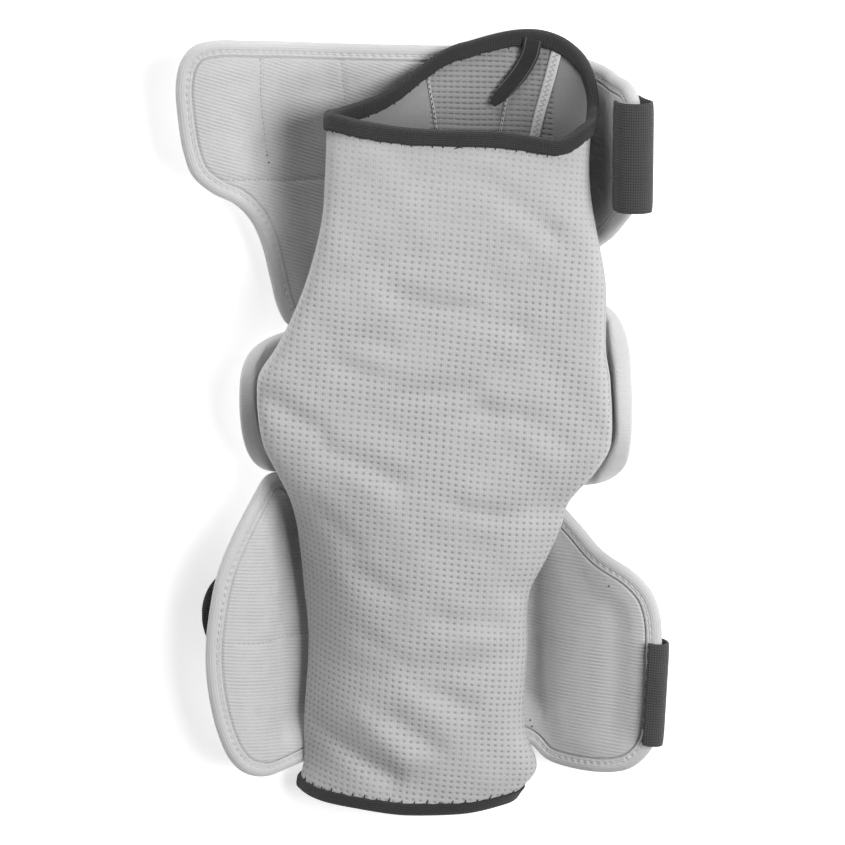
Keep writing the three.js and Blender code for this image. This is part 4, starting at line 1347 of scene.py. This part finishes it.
# %% Folded strips and their stitches
STRIP_STEPS = 1500
STRIP_SECTION_STEPS = 44
STRIP_INSET = 0.3
STITCH_PITCH = 3.7
STITCH_LENGTH = 2.4
STITCH_RADIUS = 0.33
STITCH_LINE = 4.9
STITCH_SUNK = 0.1
STITCH_STEPS = 20
UP_SHARE = 1.1
GROOVE_OUT = 2.85
GROOVE_SPREAD = 0.8
GROOVE_FROM = 2.4
GROOVE_DENT = 0.1
HOLE_DENT = 0.45


def guard_strip(name, bend, loop):
    """Edge strip: a rounded fold carried round the outline, dented along the stitch line at each needle
    hole."""
    outline = evenly(loop, STRIP_STEPS, closed=True)
    inward = inward_of(outline)
    half = [
        (6.85, 2.3), (7.0, 2.6), (6.7, 2.9), (5.8, 3.0), (STITCH_LINE, GROOVE_OUT), (4.1, 3.0), (3.0, 3.05),
        (1.9, 2.85), (0.9, 2.3), (0.15, 1.3),
    ]
    inside = [(2.2, 2.2), (1.4, 1.3)]
    corners = half + [(-0.15, 0.0)] + [(a, -b) for a, b in half[::-1]]
    corners += [(a, -b) for a, b in inside] + inside[::-1]
    section = smooth_loop(np.array(corners), STRIP_SECTION_STEPS)
    back, out = section[:, 0], section[:, 1]
    run = np.arange(STRIP_STEPS + 1) * steps_of(outline, closed=True).sum() / STRIP_STEPS
    holes = 0.5 + 0.5 * np.cos(run[:-1] * math.tau / STITCH_PITCH)
    near_stitch = np.exp(-(((back - STITCH_LINE) / GROOVE_SPREAD) ** 2)) * (np.abs(out) > GROOVE_FROM)
    out = out[None] - np.sign(out) * near_stitch * (GROOVE_DENT + HOLE_DENT * holes[:, None])
    flat = outline[:, None] + inward[:, None] * (back[:, None] + STRIP_INSET)
    points = bent(bend, flat[..., 0], flat[..., 1], out)
    along, across = np.meshgrid(run, run_of(section, closed=True), indexing="ij")
    return ring_piece(name, points, np.stack([across, along, np.ones_like(along)], -1))


def running_stitch(name, bend, line, heights, pitch, length, radius, closed=True):
    """Running stitch along a flat line: one thread per pitch, from needle hole to needle hole. Each of
    heights gives the distance off the panel's middle layer at flat places, for one face."""
    steps = STITCH_STEPS
    count = int(steps_of(line, closed).sum() / pitch)
    fine = evenly(line, count * steps, closed=closed)
    middle = np.arange(count) * steps + steps // 2
    reach = max(1, round(steps * length / pitch / 2))
    start, end = fine[(middle - reach) % len(fine)], fine[(middle + reach) % len(fine)]
    starts, ends, ups = [], [], []
    for height in heights:
        raised = height(fine[middle])
        starts.append(bent(bend, start[:, 0], start[:, 1], raised))
        ends.append(bent(bend, end[:, 0], end[:, 1], raised))
        ups.append(unit(bent(bend, start[:, 0], start[:, 1], raised * UP_SHARE) - starts[-1]))
    return threads(name, *(np.concatenate(x) for x in (starts, ends, ups)), radius)


def level(height):
    """The same height at all flat places."""
    return lambda places: np.full(len(places), height)


def visible_face(guard):
    """Height of a guard's visible face at flat places: that of the nearest point of its grid."""
    grid, raised = guard["flat"].reshape(-1, 2), guard["raised"].ravel()

    def height(places):
        return raised[((places[:, None] - grid[None]) ** 2).sum(2).argmin(1)]

    return height


strips, stitch_rows = [], []
for part, guard in (("upper", upper), ("forearm", forearm)):
    strips.append(guard_strip(f"{part}_guard_edge_strip", guard["bend"], guard["loop"]))
    strips[-1].data.materials.append(TRIM_CLOTH)
    sewn = guard["loop"] + (STITCH_LINE + STRIP_INSET) * inward_of(guard["loop"])
    faces = [level(GROOVE_OUT - STITCH_SUNK), level(STITCH_SUNK - GROOVE_OUT)]
    stitch_rows.append(
        running_stitch(
            f"{part}_edge_stitches", guard["bend"], sewn, faces, STITCH_PITCH, STITCH_LENGTH, STITCH_RADIUS
        )
    )
    stitch_rows[-1].data.materials.append(PALE_THREAD)

# %% [markdown]
# ## Channel stitches
# The lining is quilted to the foam along a few lines. Fine pale thread lies in each groove. A few short
# dark thread pieces at given spots are painted shade for needle holes.

# %% Channel stitches and needle marks
CHANNEL_PITCH = 2.6
CHANNEL_LENGTH = 1.7
CHANNEL_RADIUS = 0.24
MARK_LENGTH = 1.0
MARK_RADIUS = 0.42
UPPER_MARKS = [(-86.5, 126), (-86.2, 122.6)]
FOREARM_MARKS = [(-103.5, -125), (-101.8, -138), (97.2, -77), (54, -149), (55, -152)]

for part, guard, seams in (("upper", upper, UPPER_SEAMS), ("forearm", forearm, FOREARM_SEAMS)):
    face = visible_face(guard)
    for number, (line, _) in enumerate(seams, 1):
        stitch_rows.append(
            running_stitch(
                f"{part}_channel_stitches_{number}", guard["bend"], np.array(line, float), [face],
                CHANNEL_PITCH, CHANNEL_LENGTH, CHANNEL_RADIUS, closed=False,
            )
        )
        stitch_rows[-1].data.materials.append(CHANNEL_THREAD)

# Painted shade: short dark thread pieces stand in for the shade in needle holes.
mark_pieces = []
for part, guard, marks in (("upper", upper, UPPER_MARKS), ("forearm", forearm, FOREARM_MARKS)):
    places = np.array(marks, float)
    raised = visible_face(guard)(places)
    start, end = places - [MARK_LENGTH / 2, 0], places + [MARK_LENGTH / 2, 0]
    start = bent(guard["bend"], start[:, 0], start[:, 1], raised)
    end = bent(guard["bend"], end[:, 0], end[:, 1], raised)
    up = bent(guard["bend"], places[:, 0], places[:, 1], raised + 1) - (start + end) / 2
    mark_pieces.append(threads(f"{part}_needle_hole_shade", start, end, up, MARK_RADIUS))
    mark_pieces[-1].data.materials.append(DARK_THREAD)

# %% [markdown]
# ## Straps
# Both straps are flat dark webbing that folds round the right edge of a guard and lies on its outer
# face. A strap is a band: its middle line is a straight run, a half turn and a long run, worked out
# flat and bent with the guard. The forearm strap ends in a rounded tip past the left edge.

# %% Webbing straps
STRAP_WIDTH = 50.0
STRAP_THICKNESS = 1.8
EASE_FROM = 48.0
EASE_RUN = 8.0
EASE_BY = 0.6
LOWER_RUN = 12.0
BOW_STEPS = 28
LIP_STEPS = 6
RUN_STEP = 1.6
ROW_STEP = 0.9
STRAP_COLUMNS = 37
SELVEDGE = {"share": 0.45, "power": 10}
TIP_LEAST = 1.0
LEAN_FADE = (30, 80)
UPPER_STRAP = {
    "turn": 131.5, "radius": 7.6, "inner": 124.0, "end": 82.0, "lower": 6.5, "middle": 133.0, "slant": 0.0,
    "lean": 0.0, "tip": False,
}
FOREARM_STRAP = {
    "turn": 119.1, "radius": 6.25, "inner": 117.6, "end": -111.5, "lower": 6.25, "middle": -127.0,
    "slant": 0.155, "lean": 2.4, "tip": True,
}
RAGGED = 0.2
FRAYS = [
    # share, waves in radians over half the width, start
    (1, 23, 0), (0.7, 51, 1),
]
FRAY_RUN = 3.0


def strap(name, bend, turn, radius, inner, end, lower, middle, slant, lean, tip):
    """Folded strap: stations along its middle line, its width as a second parameter, and two faces half a
    thickness either side. Selvedges are thinner, at a tip the half width follows a quarter circle, the
    lower selvedge of a fold may lean in, and the sewn end is a little ragged."""
    bow = np.linspace(0, math.pi, BOW_STEPS)
    lip = np.linspace(inner, turn, LIP_STEPS)[:-1]
    run = np.arange(turn, end, -RUN_STEP)[1:]
    below = lower + EASE_BY * eased(np.abs(run), EASE_FROM, EASE_FROM + EASE_RUN)
    below = below + (radius - lower) * (1 - eased(turn - run, 0, LOWER_RUN))
    path = np.concatenate([
        np.stack([lip, np.full_like(lip, radius)], -1),
        np.stack([turn + radius * np.sin(bow), radius * np.cos(bow)], -1),
        np.stack([run, -below], -1),
    ])
    count = int(steps_of(path).sum() / ROW_STEP)
    path = line_at(path, np.sin(np.linspace(0, math.pi / 2, count)))
    ahead = unit(np.gradient(path, axis=0))
    square = np.stack([ahead[:, 1], -ahead[:, 0]], -1)
    short = np.maximum(0, STRAP_WIDTH / 2 - (path[:, 0] - end)) if tip else np.zeros(len(path))
    half_width = np.sqrt(np.maximum(TIP_LEAST, (STRAP_WIDTH / 2) ** 2 - short**2))
    share = np.sin(np.linspace(-1, 1, STRAP_COLUMNS) * math.pi / 2)
    along = (middle + slant * (turn - path[:, 0]))[:, None] + half_width[:, None] * share
    half = STRAP_THICKNESS / 2 * (1 - SELVEDGE["share"] * share ** SELVEDGE["power"])
    distance = run_of(path)[:, None]
    fray = sum(size * np.sin(share * waves + first) for size, waves, first in FRAYS)
    fray = RAGGED * fray * (1 - eased(distance, 0, FRAY_RUN))
    shift = lean * (share - 1) / 2 * (1 - eased(distance, *LEAN_FADE)) + fray
    faces = []
    for side in (1, -1):
        spot = path[:, None] + side * square[:, None] * half[:, None]
        faces.append(bent(bend, spot[..., 0] + shift, along, spot[..., 1]))
    cloth = np.stack(np.broadcast_arrays(half_width[:, None] * share, distance, 1.0), -1)
    middle_line = (faces[0] + faces[1])[:, len(share) // 2] / 2
    return thin_piece(name, *faces, cloth), steps_of(middle_line).sum() * MM


upper_strap, upper_run = strap("upper_strap_webbing", UPPER_BEND, **UPPER_STRAP)
forearm_strap, forearm_run = strap("forearm_strap_webbing", FOREARM_BEND, **FOREARM_STRAP)
for piece in (upper_strap, forearm_strap):
    piece.data.materials.append(STRAP_ELASTIC)
print("strap lengths", round(upper_run, 3), round(forearm_run, 3), "m")

# %% [markdown]
# ## What each piece stands for
# Every piece rides on the one rigid body. A table lists the solid that each main piece stands for,
# which is then hidden, and a finish name for it.

STANDS_FOR = [
    # piece, solid, finish
    (sleeve_front, "sleeve_front", "knit"),
    (sleeve_back, "sleeve_back", "knit"),
    (top_edge, "top_binding", "dark_elastic"),
    (bottom_edge, "bottom_binding", "dark_elastic"),
    (upper_guard, "upper_guard", "ribbed"),
    (strips[0], "upper_guard_binding", "trim"),
    (elbow_cap, "elbow_cap", "smooth"),
    (forearm_guard, "forearm_guard", "ribbed"),
    (strips[1], "forearm_guard_binding", "trim"),
    (upper_strap, "upper_strap", "dark_elastic"),
    (forearm_strap, "forearm_strap", "dark_elastic"),
    (label, "side_label", "dark_elastic"),
    (tape, "seam_tape", "tape"),
]
EXTRAS = [
    (top_loops, "dark_elastic"),
    (bottom_loops, "dark_elastic"),
    (side_stitches, "knit"),
    *((piece, "tape") for piece in inner_seams + inner_stitches),
    *((piece, "trim") for piece in stitch_rows),
    *((piece, "dark_elastic") for piece in mark_pieces),
]
for piece, node, slot in STANDS_FOR:
    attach(piece, BODY)
    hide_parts(node)
for piece, slot in EXTRAS:
    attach(piece, BODY)
